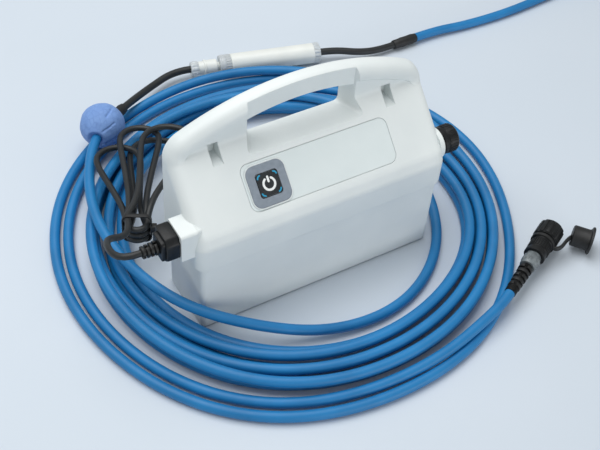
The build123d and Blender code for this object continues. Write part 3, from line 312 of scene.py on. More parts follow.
sign = [prism(open_ring, print_low, print_high), prism(stroke, print_low, print_high)]
corner_marks = []
for quarter, x, y in ((0, 1, 1), (90, -1, 1), (180, -1, -1), (270, 1, -1)):
    middle = (x * mark_mid, y * mark_mid)
    mark = arc(middle, mark_out, quarter, quarter + 90) + arc(middle, mark_in, quarter + 90, quarter)
    corner_marks.append(prism(mark, print_low, print_high))
for mesh in sign + corner_marks:
    mesh.transform(on_key)
fit("key_sign", sign, white_print, None, "key")
fit("key_corner_marks", corner_marks, blue_print, None, "key")

# Switch, inlet, socket and transistors: glass filled black nylon and epoxy, screwed or clipped from inside.
# Satin, with a grey haze where the fibres reach the skin. The socket's screw cap is ribbed for the hand, and
# the white block round the inlet widens into the rounding of the case.
black_nylon, tree, shader, where = finish(
    "glass_filled_black_nylon", {"IOR": 1.52, "Specular IOR Level": 0.32})
tree.links.new(mottle(tree, where, 4, 0.35, 0.8, "#191c1f", "#0d0f11"), shader.inputs["Base Color"])
tree.links.new(rough(tree, where, 3, 0.36, 0.5), shader.inputs["Roughness"])
tree.links.new(grain(tree, where, 0.6, 0.06, 0.4), shader.inputs["Normal"])
for name in ("key_switch", "mains_inlet", "output_socket", "socket_nut", "power_transistors"):
    dress(name, black_nylon)
ribbing = bpy.data.node_groups.new("ribs_on_a_turned_piece", "GeometryNodeTree")
for name, kind in (("Body", "Geometry"), ("Rib", "Object"), ("Count", "Int"), ("Step", "Float"),
                   ("Turn", "Float"), ("Grow", "Float"), ("Skin", "Material")):
    ribbing.interface.new_socket(name, in_out="INPUT", socket_type="NodeSocket" + kind)
ribbing.interface.new_socket("Piece", in_out="OUTPUT", socket_type="NodeSocketGeometry")
given = add(ribbing, "NodeGroupInput", {}, {}).outputs
index = add(ribbing, "GeometryNodeInputIndex", {}, {}).outputs["Index"]
along = add(ribbing, "ShaderNodeMath", {"operation": "MULTIPLY"}, {0: index, 1: given["Step"]})
turned = add(ribbing, "ShaderNodeMath", {"operation": "MULTIPLY"}, {0: index, 1: given["Turn"]})
larger = add(ribbing, "ShaderNodeMath", {"operation": "MULTIPLY_ADD"}, {0: index, 1: given["Grow"], 2: 1.0})
spots = add(ribbing, "ShaderNodeCombineXYZ", {}, {"Z": along.outputs[0]})
facings = add(ribbing, "ShaderNodeCombineXYZ", {}, {"Z": turned.outputs[0]})
sizes = add(ribbing, "ShaderNodeCombineXYZ", {}, {"X": larger.outputs[0], "Y": larger.outputs[0], "Z": 1.0})
points = add(ribbing, "GeometryNodePoints", {}, {"Count": given["Count"], "Position": spots.outputs[0]})
shape = add(ribbing, "GeometryNodeObjectInfo", {}, {"Object": given["Rib"]})
copies = add(ribbing, "GeometryNodeInstanceOnPoints", {}, {
    "Points": points.outputs[0], "Instance": shape.outputs["Geometry"], "Rotation": facings.outputs[0],
    "Scale": sizes.outputs[0]})
single = add(ribbing, "GeometryNodeRealizeInstances", {}, {"Geometry": copies.outputs[0]})
whole = add(ribbing, "GeometryNodeJoinGeometry", {}, {"Geometry": given["Body"]})
ribbing.links.new(single.outputs[0], whole.inputs[0])
coat = add(ribbing, "GeometryNodeSetMaterial", {}, {"Geometry": whole.outputs[0], "Material": given["Skin"]})
add(ribbing, "NodeGroupOutput", {}, {"Piece": coat.outputs[0]})


def lathe(profile, closed=False, flutes=(1, 0, 0, 0), around=60):
    # Turned form about Z from (along, radius) pairs in millimetres. Flutes are (count, depth, from, to), for
    # clear pieces, in which the roots of separate ribs would show
    count, depth, low, high = flutes
    form = bmesh.new()
    rows = []
    for along_mm, radius in profile:
        row = []
        for k in range(around):
            a = 2 * math.pi * k / around
            cut = depth * (0.5 - 0.5 * math.cos(count * a)) ** 2 if low <= along_mm <= high else 0
            r = (radius - cut) / 1000
            spot = (r * math.cos(a), r * math.sin(a), along_mm / 1000)
            row.append(form.verts.new(spot) if radius or not row else row[0])
        rows.append(row)
    for row, after in zip(rows, rows[1:] + (rows[:1] if closed else [])):
        for k in range(around):
            form.faces.new(dict.fromkeys((row[k - 1], row[k], after[k], after[k - 1])))
    return as_mesh(form)


def bar(low, high, wide, inner, outer):
    # Rib along Z at a radius, a little narrower outside
    flank, top = wide / 2, wide * 0.36
    return prism([(inner, -flank), (outer, -top), (outer, top), (inner, flank)], low, high)


def ribbed(body, rib, count, skin, edge_mm, place, step_mm=0, turn_deg=0, grow=0):
    # The body with copies of a rib along its axis or evenly round it, edges rounded, put in its place
    blank = bpy.data.objects.new("blank", body)
    sample = bpy.data.objects.new("rib", rib)
    for made in (blank, sample):
        bpy.context.scene.collection.objects.link(made)
    array = blank.modifiers.new("ribs", "NODES")
    array.node_group = ribbing
    values = {"Rib": sample, "Count": count, "Step": step_mm / 1000,
              "Turn": math.radians(turn_deg or 360 / count), "Grow": grow, "Skin": skin}
    for item in ribbing.interface.items_tree:
        if item.name in values:
            array[item.identifier] = values[item.name]
    solid = bpy.data.meshes.new_from_object(blank.evaluated_get(bpy.context.evaluated_depsgraph_get()))
    for made in (blank, sample):
        bpy.data.objects.remove(made)
    return softened(solid, edge_mm, place)


def on_axis(origin_mm, axis):
    turned = Vector(axis).to_track_quat("Z", "Y").to_matrix().to_4x4()
    return Matrix.Translation(Vector(origin_mm) / 1000) @ turned


inlet_y, inlet_z = -17.75, 125.3
root_x, root_deep = -145, 6.5
on_root = facing((root_x, inlet_y, inlet_z), Vector((0, 1, 0)), Vector((0, 0, 1)), Vector((1, 0, 0)))
root_form = prism(rounded(15, 17.4, 3), 0, root_deep, rounded(11.05, 14.55, 2.05), rounded(11.3, 14.8, 2.3))
fit("inlet_block_root", [placed(root_form, on_root)], white_abs, "case_white", "case")
cap_shell = lathe([(15.4, 0), (15.4, 12.2), (0, 12.2), (0, 14.6), (0.6, 15.1), (4.6, 15.1), (5, 14.3),
                   (6.2, 14.3), (6.6, 15.1), (16.6, 15.1), (18.4, 13.6), (18.4, 11), (17.4, 10.4), (17.4, 0)])
cap_rib = bar(low=7.2, high=16.2, wide=2, inner=14.6, outer=15.5)
cap_solid = ribbed(cap_shell, cap_rib, 24, black_nylon, 0.2, on_axis((144.6, -17, 127), (1, 0, 0)))
fit("screw_cap", [cap_solid], black_nylon, "black_plastic", "cap", "socket_cap")

# Contacts: blades, pins and slip rings of turned and stamped brass, pressed into their carriers.
# The metal is bright, with patches that the air has dulled.
bright_brass, tree, shader, where = finish("stamped_brass", {"Metallic": 1.0})
tree.links.new(mottle(tree, where, 1, 0.3, 0.7, "#d6b460", "#b8954a"), shader.inputs["Base Color"])
tree.links.new(rough(tree, where, 1, 0.25, 0.4), shader.inputs["Roughness"])
for name in ("inlet_blades", "socket_pins", "connector_pins", "slip_rings", "wall_pins"):
    dress(name, bright_brass)

# Connector at the outer end of the floating cable: a slit rubber boot, a fluted collet, a black grooved body
# and a gripped coupling ring that turns on the socket. The boot is soft and dull, the collet clear but smoky.
soft_rubber, tree, shader, where = finish("soft_black_elastomer", {"IOR": 1.5})
tree.links.new(mottle(tree, where, 5, 0.3, 0.8, "#1d1f21", "#101112"), shader.inputs["Base Color"])
tree.links.new(rough(tree, where, 4, 0.45, 0.62), shader.inputs["Roughness"])
tree.links.new(grain(tree, where, 0.6, 0.05, 0.3), shader.inputs["Normal"])
clear_resin, tree, shader, where = finish("clear_polycarbonate", {"IOR": 1.45, "Transmission Weight": 0.35})
tree.links.new(mottle(tree, where, 12, 0.3, 0.7, "#e4eaed", "#dde4e8"), shader.inputs["Base Color"])
tree.links.new(rough(tree, where, 9, 0.28, 0.36), shader.inputs["Roughness"])
smoked_resin, tree, shader, where = finish("smoked_polycarbonate", {"IOR": 1.45, "Transmission Weight": 0.4})
tree.links.new(mottle(tree, where, 6, 0.3, 0.7, "#99a2a6", "#737b80"), shader.inputs["Base Color"])
tree.links.new(rough(tree, where, 4, 0.16, 0.3), shader.inputs["Roughness"])


def slit_rings(core, outer, inner, half_turn, low, high, count, step_mm, grow, place):
    # A soft core with half rings at both sides, each pair a quarter turn on from the last, slits between them
    outline = arc((0, 0), outer, -half_turn, half_turn, 16) + arc((0, 0), inner, half_turn, -half_turn, 16)
    sides = []
    for side in (0, math.pi):
        ring = placed(prism(outline, low, high), Matrix.Rotation(side, 4, "Z"))
        sides.append(ribbed(core.copy(), ring, count, soft_rubber, 0.3, place, step_mm, 90, grow))
    return sides


plug_mid = Vector((159.8028, -158.7645, 19.502))
plug_way = Vector((0.8859, 0.4635, 0.02)).normalized()
on_plug = on_axis(plug_mid, plug_way)
boot_core = lathe([(0, 0), (0, 5.9), (0.6, 6.4), (7, 6.4), (8, 6.2), (44, 6.2), (44, 0)])
boot_sides = slit_rings(boot_core, outer=7, inner=5.8, half_turn=76, low=9, high=13, count=5, step_mm=7,
                        grow=0.035, place=on_plug)
boot = fit("slit_boot", boot_sides, soft_rubber, "soft_black", "case", "cable_boot")
collet_form = lathe([(44, 0), (44, 8.4), (44.8, 9), (48.4, 9), (49.6, 10), (56.4, 10), (57.6, 9), (61.2, 9),
                     (62, 8.4), (62, 0)], flutes=(12, 0.9, 49, 57), around=120)
collet_form = placed(collet_form, on_plug)
collet = fit("clear_collet", [collet_form], smoked_resin, "clear_plastic", "case", "cable_collet")
plug_shell = lathe([(62, 0), (62, 11.7), (62.6, 12.2), (67.4, 12.2), (68, 11.4), (69.4, 11.4), (70, 11.9),
                    (82, 11.9), (82.6, 11.4), (83.4, 11.4), (84, 12.1), (88, 12.1), (88.6, 11.2), (93, 11.2),
                    (93, 9.6), (113.4, 9.6), (114, 9.2), (114, 7.6), (105, 7.6), (105, 0)])
plug_rib = bar(low=70.6, high=81.4, wide=1.5, inner=11.6, outer=12.5)
plug_solid = ribbed(plug_shell, plug_rib, 28, black_nylon, 0.15, on_plug)
plug_body = fit("grooved_body", [plug_solid], black_nylon, "connector_black", "case", "connector_body")
grip_shell = lathe([(90, 11.5), (90, 13.1), (90.6, 13.6), (110.8, 13.6), (112, 12.8), (112, 11.5)],
                   closed=True)
grip_rib = bar(low=91.2, high=110.4, wide=5.4, inner=13.2, outer=14.5)
grip_solid = ribbed(grip_shell, grip_rib, 12, black_nylon, 0.35, on_plug)
fit("coupling_grip", [grip_solid], black_nylon, "connector_black", "coupling", "coupling_ring")

# Dust cap: soft black rubber, open towards the floor, hung by a flat strap on a ring round the connector.
# Its brim flares where fingers pull it off.
cap_mid = Vector((276.444, -122.0588, 17.4))
cap_way = Vector((0.6598, -0.7498, -0.05)).normalized()
cap_side = Vector((0.4636, -0.886, 0))
cap_cup = lathe([(0, 0), (0, 10.8), (1.2, 12), (17.6, 12), (19.4, 13), (20.4, 15.6), (21.4, 16), (22.4, 16),
                 (23, 15.4), (23, 10), (5, 10), (5, 0)])
clip_ring = lathe([(84, 12.4), (84, 13.5), (84.5, 14), (87.5, 14), (88, 13.5), (88, 12.4)], closed=True)
clip_along, clip_out, strap_straight = 86, 13, 7
bend_along, bend_out, strap_into_cap = 111, 21, 3
strap_start = plug_mid + plug_way * clip_along + cap_side * clip_out
strap_bend = plug_mid + plug_way * bend_along + cap_side * bend_out
strap_spots = (strap_start, strap_start + cap_side * strap_straight, strap_bend,
               cap_mid + cap_way * strap_into_cap)
strap_curve = bpy.data.curves.new("strap", "CURVE")
strap_curve.dimensions = "3D"
strap_curve.twist_mode = "Z_UP"
strap_run = strap_curve.splines.new("NURBS")
strap_run.points.add(len(strap_spots) - 1)
for point, spot in zip(strap_run.points, strap_spots):
    point.co = (*(spot / 1000), 1)
strap_run.order_u = 3
strap_run.use_endpoint_u = True
strap_curve.extrude = 0.0013
strap_curve.bevel_depth = 0.0017
strap_curve.bevel_resolution = 3
strap_curve.use_fill_caps = True
strap_sample = bpy.data.objects.new("strap", strap_curve)
bpy.context.scene.collection.objects.link(strap_sample)
strap = bpy.data.meshes.new_from_object(strap_sample.evaluated_get(bpy.context.evaluated_depsgraph_get()))
bpy.data.objects.remove(strap_sample)
cap_forms = [placed(cap_cup, on_axis(cap_mid, cap_way)), placed(clip_ring, on_plug), strap]
fit("hung_dust_cap", cap_forms, soft_rubber, "soft_black", "case", "dust_cap")

# Floating cable: two cores in a foamed blue jacket, 11.5 mm thick and 11.4 m long, thrown in loose
# turns round the case. The jacket is satin, a little chalky on top, and shows faint rub marks.
blue_jacket, tree, shader, where = finish("satin_blue_cable_jacket", {"IOR": 1.5})
tree.links.new(mottle(tree, where, 45, 0.3, 0.7, "#1a7fbe", "#1270ab"), shader.inputs["Base Color"])
tree.links.new(rough(tree, where, 9, 0.4, 0.55), shader.inputs["Roughness"])
tree.links.new(grain(tree, where, 0.9, 0.06, 0.3), shader.inputs["Normal"])
cable_d = 0.0115
layer = 0.0121
floor_gap = 0.0002
ring_mid = Vector((0.014, 0.049, 0))
ring_from = -56
ring_wide, ring_deep = 1.022, 0.978
ring_drift, drift_from, drift_over = Vector((-0.005, -0.002, 0)), 0.262, 0.06
right_sector, close_r, close_draw, last_draw = (-30, 44), 0.228, 0.28, 0.003
front_left_sector, outer_sag = (-128, 42), 0.011
inner_turns, outer_turns, last_turns = (0.172, 0.187), (0.19, 0.26), (0.238, 0.25)
soft_reach = 0.035
ring_stations = ((0, 256, 1.12), (0.05, 250, 0.8), (0.1, 245.5, 0.3), (0.15, 244.5, 0), (1.5, 265.5, 0),
                 (1.62, 259, 1), (1.74, 246, 1.05), (1.82, 236, 0.1), (1.9, 229, 0), (4, 190, 0),
                 (4.25, 186, 0.5), (4.5, 186, 1), (7.15, 231, 1), (7.3, 230, 2), (7.5, 211, 2), (7.7, 193, 2),
                 (7.76, 183, 2), (7.83, 172, 0.6), (7.89, 168, 0), (8.05, 168, 0), (8.14, 160, 0.3),
                 (8.205, 166, 1.9), (8.264, 188, 3.4), (8.334, 193, 3.2), (8.378, 206, 3.05), (8.426, 222, 3),
                 (8.455, 233, 2.9), (8.486, 243, 2.75))


def station(stations, u):
    # Radius in metres and layer at this many turns, even between stations of (turns, radius in mm, layer)
    for (u0, r0, k0), (u1, r1, k1) in zip(stations, stations[1:]):
        if u <= u1:
            break
    w = (u - u0) / (u1 - u0)
    return (r0 + (r1 - r0) * w) / 1000, k0 + (k1 - k0) * w


def part_way(value, start, stop):
    return max(0, min(1, (value - start) / (stop - start)))


def drawn(turn_deg, middle, reach):
    # From one in the middle of a sector down to nothing at its ends
    off = abs((turn_deg - middle + 180) % 360 - 180)
    return math.cos(math.pi / 2 * min(1, off / reach)) ** 2


def ring_spot(u):
    # The turns lie closer together at the right, by the connector, and the outer ones lie further out at the
    # front left
    r, k = station(ring_stations, u)
    turn_deg = ring_from - 360 * u
    closer = close_draw * (close_r - r) * part_way(r, *inner_turns) - last_draw * part_way(r, *last_turns)
    further = outer_sag * part_way(r, *outer_turns)
    r += closer * drawn(turn_deg, *right_sector) + further * drawn(turn_deg, *front_left_sector)
    a = math.radians(turn_deg)
    flat = Vector((ring_wide * r * math.cos(a), ring_deep * r * math.sin(a), 0))
    height = Vector((0, 0, cable_d / 2 + floor_gap + k * layer))
    return ring_mid + ring_drift * ((drift_from - r) / drift_over) + flat + height


def ring_soft(u):
    # Mean over a short stretch, so that changes of rate are rounded
    reach = min(soft_reach, u, ring_last - u)
    return sum((ring_spot(u + reach * k / 4) for k in range(-4, 5)), Vector()) / 9


def cord_line(name, spots, thick, skin, slot, *stands_for):
    # Round cord with these control points, riding on the case
    line = bpy.data.curves.new(name, "CURVE")
    line.dimensions = "3D"
    run = line.splines.new("NURBS")
    run.points.add(len(spots) - 1)
    for point, spot in zip(run.points, spots):
        point.co = (*spot, 1)
    run.order_u = 3
    run.use_endpoint_u = True
    run.resolution_u = 5
    line.bevel_depth = thick / 2
    line.bevel_resolution = 5
    line.use_fill_caps = True
    line.materials.append(skin)
    made = bpy.data.objects.new(name, line)
    bpy.context.scene.collection.objects.link(made)
    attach(made, "case")
    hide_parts(*stands_for)
    return made


per_turn = 32
ring_last = ring_stations[-1][0]
ring_count = int(ring_last * per_turn)
boot_straight = 0.014
cable_spots = [plug_mid / 1000, plug_mid / 1000 - plug_way * boot_straight]
cable_spots += [ring_soft(k / per_turn) for k in range(1, ring_count + 1)] + [ring_soft(ring_last)]
into_float = (ring_soft(ring_last) - ring_soft(ring_last - 0.004)).normalized()
cable_spots.append(cable_spots[-1] + into_float * cable_d)
cable = cord_line("blue_cable", cable_spots[::-1], cable_d, blue_jacket, "cable_blue", "floating_cable")

# Float: a ball of cross linked foam, threaded on the cable where the turns end. Its skin has shrunk into
# shallow dents and cracks, with a rolled lip where the cable goes in. A shrunk black sleeve holds it.
foam_skin, tree, shader, where = finish("skinned_blue_foam", {"IOR": 1.45})
cells = add(tree, "ShaderNodeTexVoronoi", {"feature": "DISTANCE_TO_EDGE"},
            {"Vector": where, "Scale": per_metre(7)})
seams = add(tree, "ShaderNodeMapRange", {}, {"Value": cells.outputs["Distance"], "From Max": 0.07})
tone = add(tree, "ShaderNodeMix", {"data_type": "RGBA"}, {"Factor": seams.outputs["Result"]})
tone.inputs[6].default_value = linear("#6d8fca")
tree.links.new(mottle(tree, where, 10, 0.3, 0.7, "#7da1da", "#7195d0"), tone.inputs[7])
tree.links.new(tone.outputs[2], shader.inputs["Base Color"])
tree.links.new(rough(tree, where, 6, 0.55, 0.75), shader.inputs["Roughness"])
tree.links.new(grain(tree, where, 1.2, 0.2, 0.4), shader.inputs["Normal"])
float_mid = Vector((-127.7269, 252.5576, 38.276))
float_out = Vector((0.7935, 0.5753, -0.1984))
float_r = 26
mouth_r, mouth_deep, mouth_slope = 10, 3.2, 4.5
rim_r, rim_wide, rim_high = 11, 2.2, 0.7
crack_wide, crack_deep, crack_stray = 1.1, 1.1, 0.8
entry_way = (Vector((-136.6651, 241.7949, 38.797)) - float_mid).normalized()
crack_lines = ((Vector((0.0312, -0.4915, 0.8645)), Vector((0.4352, -0.1053, 0.8926))),
               (Vector((-0.6204, -0.744, -0.2098)), Vector((0.2587, -0.9597, -0.031))),
               (Vector((-0.318, -0.8319, 0.4233)), Vector((0.2965, -0.7241, 0.6186))))
ball = bmesh.new()
bmesh.ops.create_icosphere(ball, subdivisions=6, radius=1)
for vert in ball.verts:
    way = vert.co.normalized()
    height = float_r + 0.5 * noise.noise(way * 2.2) + 0.22 * noise.noise(way * 7)
    from_entry = float_r * way.angle(entry_way)
    height += rim_high * math.exp(-((from_entry - rim_r) / rim_wide) ** 2)
    height -= mouth_deep * part_way(from_entry, mouth_r, mouth_r - mouth_slope)
    for start, stop in crack_lines:
        along_crack = part_way((way - start).dot(stop - start), 0, (stop - start).length_squared)
        away = float_r * (way - start.lerp(stop, along_crack).normalized()).length
        away += crack_stray * noise.noise(way * 9)
        height -= crack_deep * math.exp(-(away / crack_wide) ** 2)
    vert.co = (float_mid + way * height) / 1000
fit("foam_float", [as_mesh(ball)], foam_skin, "float_blue", "case", "float_ball")
shrunk = [(0, 0), (0, 5.6), (0.8, 6.1), (9, 6.2), (10.5, 6.6), (17, 6.4), (25, 6.6), (26.5, 6.2), (29.4, 5.9),
          (30, 5.2), (30, 0)]
sleeve_form = placed(lathe(shrunk), on_axis(float_mid + float_out * 18, float_out))
fit("float_shrink_sleeve", [sleeve_form], soft_rubber, "soft_black", "case", "float_sleeve")

# Lead from the float to the swivel: two cores in an extruded black rubber jacket, 9 mm thick and a little
# dusty. It comes out of the sleeve of the float, sinks towards the floor and goes into the swivel's gland.
lead_jacket, tree, shader, where = finish("black_rubber_jacket", {"IOR": 1.5})
tree.links.new(mottle(tree, where, 12, 0.3, 0.8, "#24282b", "#181b1d"), shader.inputs["Base Color"])
tree.links.new(rough(tree, where, 6, 0.42, 0.55), shader.inputs["Roughness"])
tree.links.new(grain(tree, where, 0.8, 0.05, 0.3), shader.inputs["Normal"])


def route(*spots_mm):
    return [Vector(spot) / 1000 for spot in spots_mm]


lead_d = 0.009
swivel_start = (22, 327, 13.4)
first_spots = route((-89.638, 280.172, 28.754), (-73.768, 291.678, 24.786), (-40, 316, 14),
                    (0.638, 332.258, 13.4), swivel_start)
first = cord_line("lead_from_float", first_spots, lead_d, lead_jacket, "lead_black", "first_lead")

# Swivel: a white polypropylene tube in which the rotor, its slip rings and two bearings turn. The tube is
# smooth and waxy. The gland nut, the ring and the end cap are clear mouldings, fluted for the hand.
white_tube, tree, shader, where = finish("white_polypropylene", {"IOR": 1.49})
tree.links.new(mottle(tree, where, 25, 0.3, 0.7, "#e9ece8", "#e0e4e1"), shader.inputs["Base Color"])
tree.links.new(rough(tree, where, 8, 0.25, 0.38), shader.inputs["Roughness"])
tree.links.new(grain(tree, where, 0.9, 0.03, 0.25), shader.inputs["Normal"])
dress("swivel_bearings", zinc_steel)
dress("brush_block", black_nylon)
dress("shaft_seal", soft_rubber)
on_swivel = on_axis(swivel_start, (0.971, -0.239, 0))
nut_form = lathe([(0, 0), (0, 8), (0.8, 8.8), (2, 9.6), (8, 9.6), (9.2, 9), (10, 8.6), (10, 0)],
                 flutes=(10, 1, 1.5, 8.5), around=120)
rotor_form = lathe([(10, 0), (10, 8), (10.4, 8.4), (17, 8.4), (17, 9.6), (17.4, 10), (19.6, 10), (20, 9.6),
                    (20, 9.2), (33.2, 9.2), (34, 8.4), (34, 5), (140, 5), (140, 0)])
tube_form = lathe([(52, 10.4), (52, 12.6), (52.5, 13.1), (161.5, 13.1), (162, 12.6), (162, 10.4)],
                  closed=True)
end_form = lathe([(162, 0), (162, 12.6), (162.6, 13.2), (166, 13.2), (169.2, 13.2), (170, 12.2), (170, 5.4),
                  (169, 4.8), (169, 0)], flutes=(16, 1.1, 162.3, 169.5), around=160)
for mesh in (nut_form, rotor_form, tube_form, end_form):
    mesh.transform(on_swivel)
fit("clear_gland_nut", [nut_form], clear_resin, "clear_plastic", "rotor", "gland_nut")
fit("turning_rotor", [rotor_form], white_tube, "swivel_white", "rotor", "swivel_rotor")
fit("white_tube", [tube_form], white_tube, "swivel_white", "case", "swivel_tube")
fit("fluted_end_cap", [end_form], clear_resin, "clear_plastic", "case", "swivel_cap")
ring_shell = lathe([(37, 5.5), (37, 12), (37.6, 12.6), (39.6, 12.6), (40, 13.2), (44, 13.2), (44.4, 12.5),
                    (51.6, 12.5), (52, 12.1), (52, 5.5)], closed=True)
ring_rib = bar(low=45.4, high=50.8, wide=1.7, inner=12.2, outer=13)
ring_solid = ribbed(ring_shell, ring_rib, 24, clear_resin, 0.15, on_swivel)
fit("ribbed_swivel_ring", [ring_solid], clear_resin, "clear_plastic", "case", "swivel_ring")

# Lead from the swivel to the tail: the same black rubber lead, out of the end cap of the swivel and down to
# the floor. It is joined to the blue tail under a longer sleeve of the same kind, shrunk on with heat.
tail_start = (289, 262, 8)
second_spots = route((187.073, 286.369, 13.4), (208.436, 281.111, 13.4), (239, 266, 10), (267.004, 261.56, 8),
                     tail_start)
second = cord_line("lead_to_tail", second_spots, lead_d, lead_jacket, "lead_black", "second_lead")
longer = 1.2
long_sleeve = lathe([(along_mm * longer, r) for along_mm, r in shrunk])
long_sleeve = placed(long_sleeve, on_axis(tail_start, (0.9998, 0.02, 0)))
fit("tail_shrink_sleeve", [long_sleeve], soft_rubber, "soft_black", "case", "tail_sleeve")

# Connector at the end of the tail: the same black nylon, moulded round the cable in steps that bend with it.
# Its far end is an open socket with a ribbed grip.
tail_end = Vector((678.149, 407.8835, 19.3612))
end_shell = lathe([(0, 0), (0, 5.9), (0.4, 6.2), (6, 6.2), (6.4, 6.8), (11.6, 6.8), (12, 6.2), (14, 6.2),
                   (14.4, 7.4), (19.6, 7.4), (20, 6.2), (24, 6.2), (24.6, 9), (31.4, 9), (32.6, 10.8),
                   (36, 10.8), (36.4, 11.8), (41.6, 11.8), (42, 10.8), (57, 10.8), (58, 10.2), (58, 8.6),
                   (48, 8.6), (48, 0)])
end_rib = bar(low=43.6, high=55.6, wide=2, inner=10.4, outer=11.5)
on_tail = on_axis(tail_end, (-0.7769, 0.6267, -0.0599))
tail_plug = fit("ribbed_tail_connector", [ribbed(end_shell, end_rib, 16, black_nylon, 0.2, on_tail)],
                black_nylon, "connector_black", "case", "tail_connector")

# Tail of the floating cable: the same blue jacket, run out over the floor and put away in a small coil of
# two layers. A moulded rubber band holds the turns together.
coil_stations = ((0, 71, 0), (1.5, 52, 0), (1.75, 50, 0.5), (2, 50, 1), (3.4, 75, 1))
coil_mid = Vector((0.643, 0.34, 0))
coil_lift = 0.0022
coil_points = 110


def coil_spot(u):
    r, k = station(coil_stations, u)
    a = math.radians(-90 + 360 * u)
    return coil_mid + Vector((r * math.cos(a), r * math.sin(a), cable_d / 2 + coil_lift + k * layer))


tail_spots = route((324.993, 262.72, 8), (358.986, 263.4, 8), (403, 258, 6.2), (473, 256, 6), (543, 262, 6.2),
                   (591.543, 266.891, 7.95))
coil_turns = coil_stations[-1][0]
tail_spots += [coil_spot(coil_turns * k / (coil_points - 1)) for k in range(coil_points)]
tail_spots += route(tail_end)
tail = cord_line("blue_tail", tail_spots, cable_d, blue_jacket, "cable_blue", "cable_tail", "tail_coil")
tie_band = band(half_wide=15.5, half_high=13.6, corner=5, wall=1.5, low=0, high=12)
band_mm = (586, 346, 14.3)
on_coil = facing(band_mm, Vector((1, 0, 0)), Vector((0, 0, 1)), Vector((0, -1, 0)))
fit("tail_rubber_band", [softened(tie_band, 0.4, on_coil)], soft_rubber, "soft_black", "case", "tail_tie")

# Mains plug, boot and wall plug: black nylon, moulded round the two ends of the lead. The plug has two of its
# corners cut off and is pushed into the inlet, and its soft boot is slit so that it bends with the lead.
plug_x, boot_x = -163, -181
on_inlet = facing((plug_x, inlet_y, inlet_z), Vector((0, 1, 0)), Vector((0, 0, -1)), Vector((-1, 0, 0)))
plug_outline = [(-8, -15.5), (14, -15.5), (14, 15.5), (-8, 15.5), (-14, 9.5), (-14, -9.5)]
# The body, the collar behind it and the nose that goes into the inlet
plug_tiers = [softened(prism(plug_outline, 0, 14), 1.6, on_inlet),
              softened(prism(rounded(11, 12.5, 4), 13, 18), 1.2, on_inlet),
              softened(prism(rounded(8.2, 11.7, 1.6), -15.5, 1), 0.4, on_inlet)]
fit("appliance_plug", plug_tiers, black_nylon, "black_plastic", "case", "mains_plug")
on_boot = on_axis((boot_x, inlet_y, inlet_z), (-1, 0, 0))
bend_core = lathe([(0, 0), (0, 6), (0.8, 6.4), (1.6, 4.6), (17, 4.3), (17, 0)])
bend_sides = slit_rings(bend_core, outer=7.4, inner=4.1, half_turn=78, low=1.2, high=3.8, count=4,
                        step_mm=4.2, grow=-0.045, place=on_boot)
fit("slit_mains_boot", bend_sides, soft_rubber, "soft_black", "case", "mains_boot")
wall_end = (27, 150, 19)
wall_shell = lathe([(0, 0), (0, 5.6), (0.8, 6.5), (13, 6.5), (14.4, 8.4), (16.4, 11.4), (20.4, 12.4),
                    (22.8, 15.8), (25, 17.5), (27, 17.8), (39, 17.8), (40, 17), (40, 2.4), (34, 2.4),
                    (34, 0)])
wall_rib = bar(low=27.4, high=37.4, wide=2.6, inner=17.2, outer=18.2)
wall_solid = ribbed(wall_shell, wall_rib, 20, black_nylon, 0.3, on_axis(wall_end, (0, -1, 0)))
wall_plug = fit("ribbed_wall_plug", [wall_solid], black_nylon, "black_plastic", "case", "wall_plug")

# Mains lead: three cores in a black rubber jacket, 7 mm thick. From the boot it bends down into a hank of
# four long loops, tied near their folds, and its end lies behind the case with the wall plug.
mains_d = 0.007
hank_near = Vector((-0.168, 0.063, 0))
hank_near_r = 0.0072
hank_low = 0.0581
hank_slope = -0.14
hank_level = 0.0076
hank_turn = math.radians(62)
hank_way = Vector((math.cos(hank_turn), math.sin(hank_turn), 0))


def hank_spot(level, turn, length, out_turn, radius, centre):
    # Spot on a loop of the hank: out_turn is the angle from the loop's axis, about a centre that lies between
    # the near fold, 0, and the far one, 1
    axis = Vector((math.cos(math.radians(turn)), math.sin(math.radians(turn)), 0))
    left = Vector((-axis.y, axis.x, 0))
    out = axis * math.cos(math.radians(out_turn)) + left * math.sin(math.radians(out_turn))
    flat = hank_near + axis * (length * centre) + out * radius
    height = hank_low + hank_slope * (flat - hank_near).dot(hank_way) + level * hank_level
    return Vector((flat.x, flat.y, height))


# Loops are (level, turn, length, radius of the far fold), from the top one down
hank_loops = ((3, 52, 0.14, 0.028), (2, 65, 0.15, 0.022), (1, 76, 0.122, 0.024), (0, 58, 0.14, 0.028))
leg_turn, return_turn = 97, -94
near_half = 0.0115
near_fold, near_fold_r = (-97, -140, 180, 140), 1.5 * hank_near_r
far_fold, far_wider = (97, 58, 20, -20, -58, -97), 1.05
mains_spots = route((-198, inlet_y, inlet_z), (-222, inlet_y, inlet_z), (-218, 30, 108),
                    (-189.366, 39.808, 86.796), (-177.678, 60.504, 83))
for (*loop, far_r), after in zip(hank_loops, hank_loops[1:] + (None,)):
    legs = ((0.06, 0.0105), (0.16, 0.0088), (0.35, 0.0095), (0.7, 0.3 * hank_near_r + 0.65 * far_r))
    mains_spots += [hank_spot(*loop, leg_turn, half, along) for along, half in ((0, near_half), *legs)]
    mains_spots += [hank_spot(*loop, a, far_r * far_wider, 1) for a in (far_fold if after else far_fold[:3])]
    if after:
        mains_spots += [hank_spot(*loop, -leg_turn, half, along) for along, half in reversed(legs[1:])]
        mains_spots.append(hank_spot(*after[:3], return_turn, legs[0][1], legs[0][0]))
        mains_spots += [hank_spot(*after[:3], a, near_fold_r, 0) for a in near_fold]
mains_spots += route((-73.038, 201.763, 34), (-47.597, 185.866, 33.324), (-1, 196, 26), (27, 176, 19),
                     wall_end)
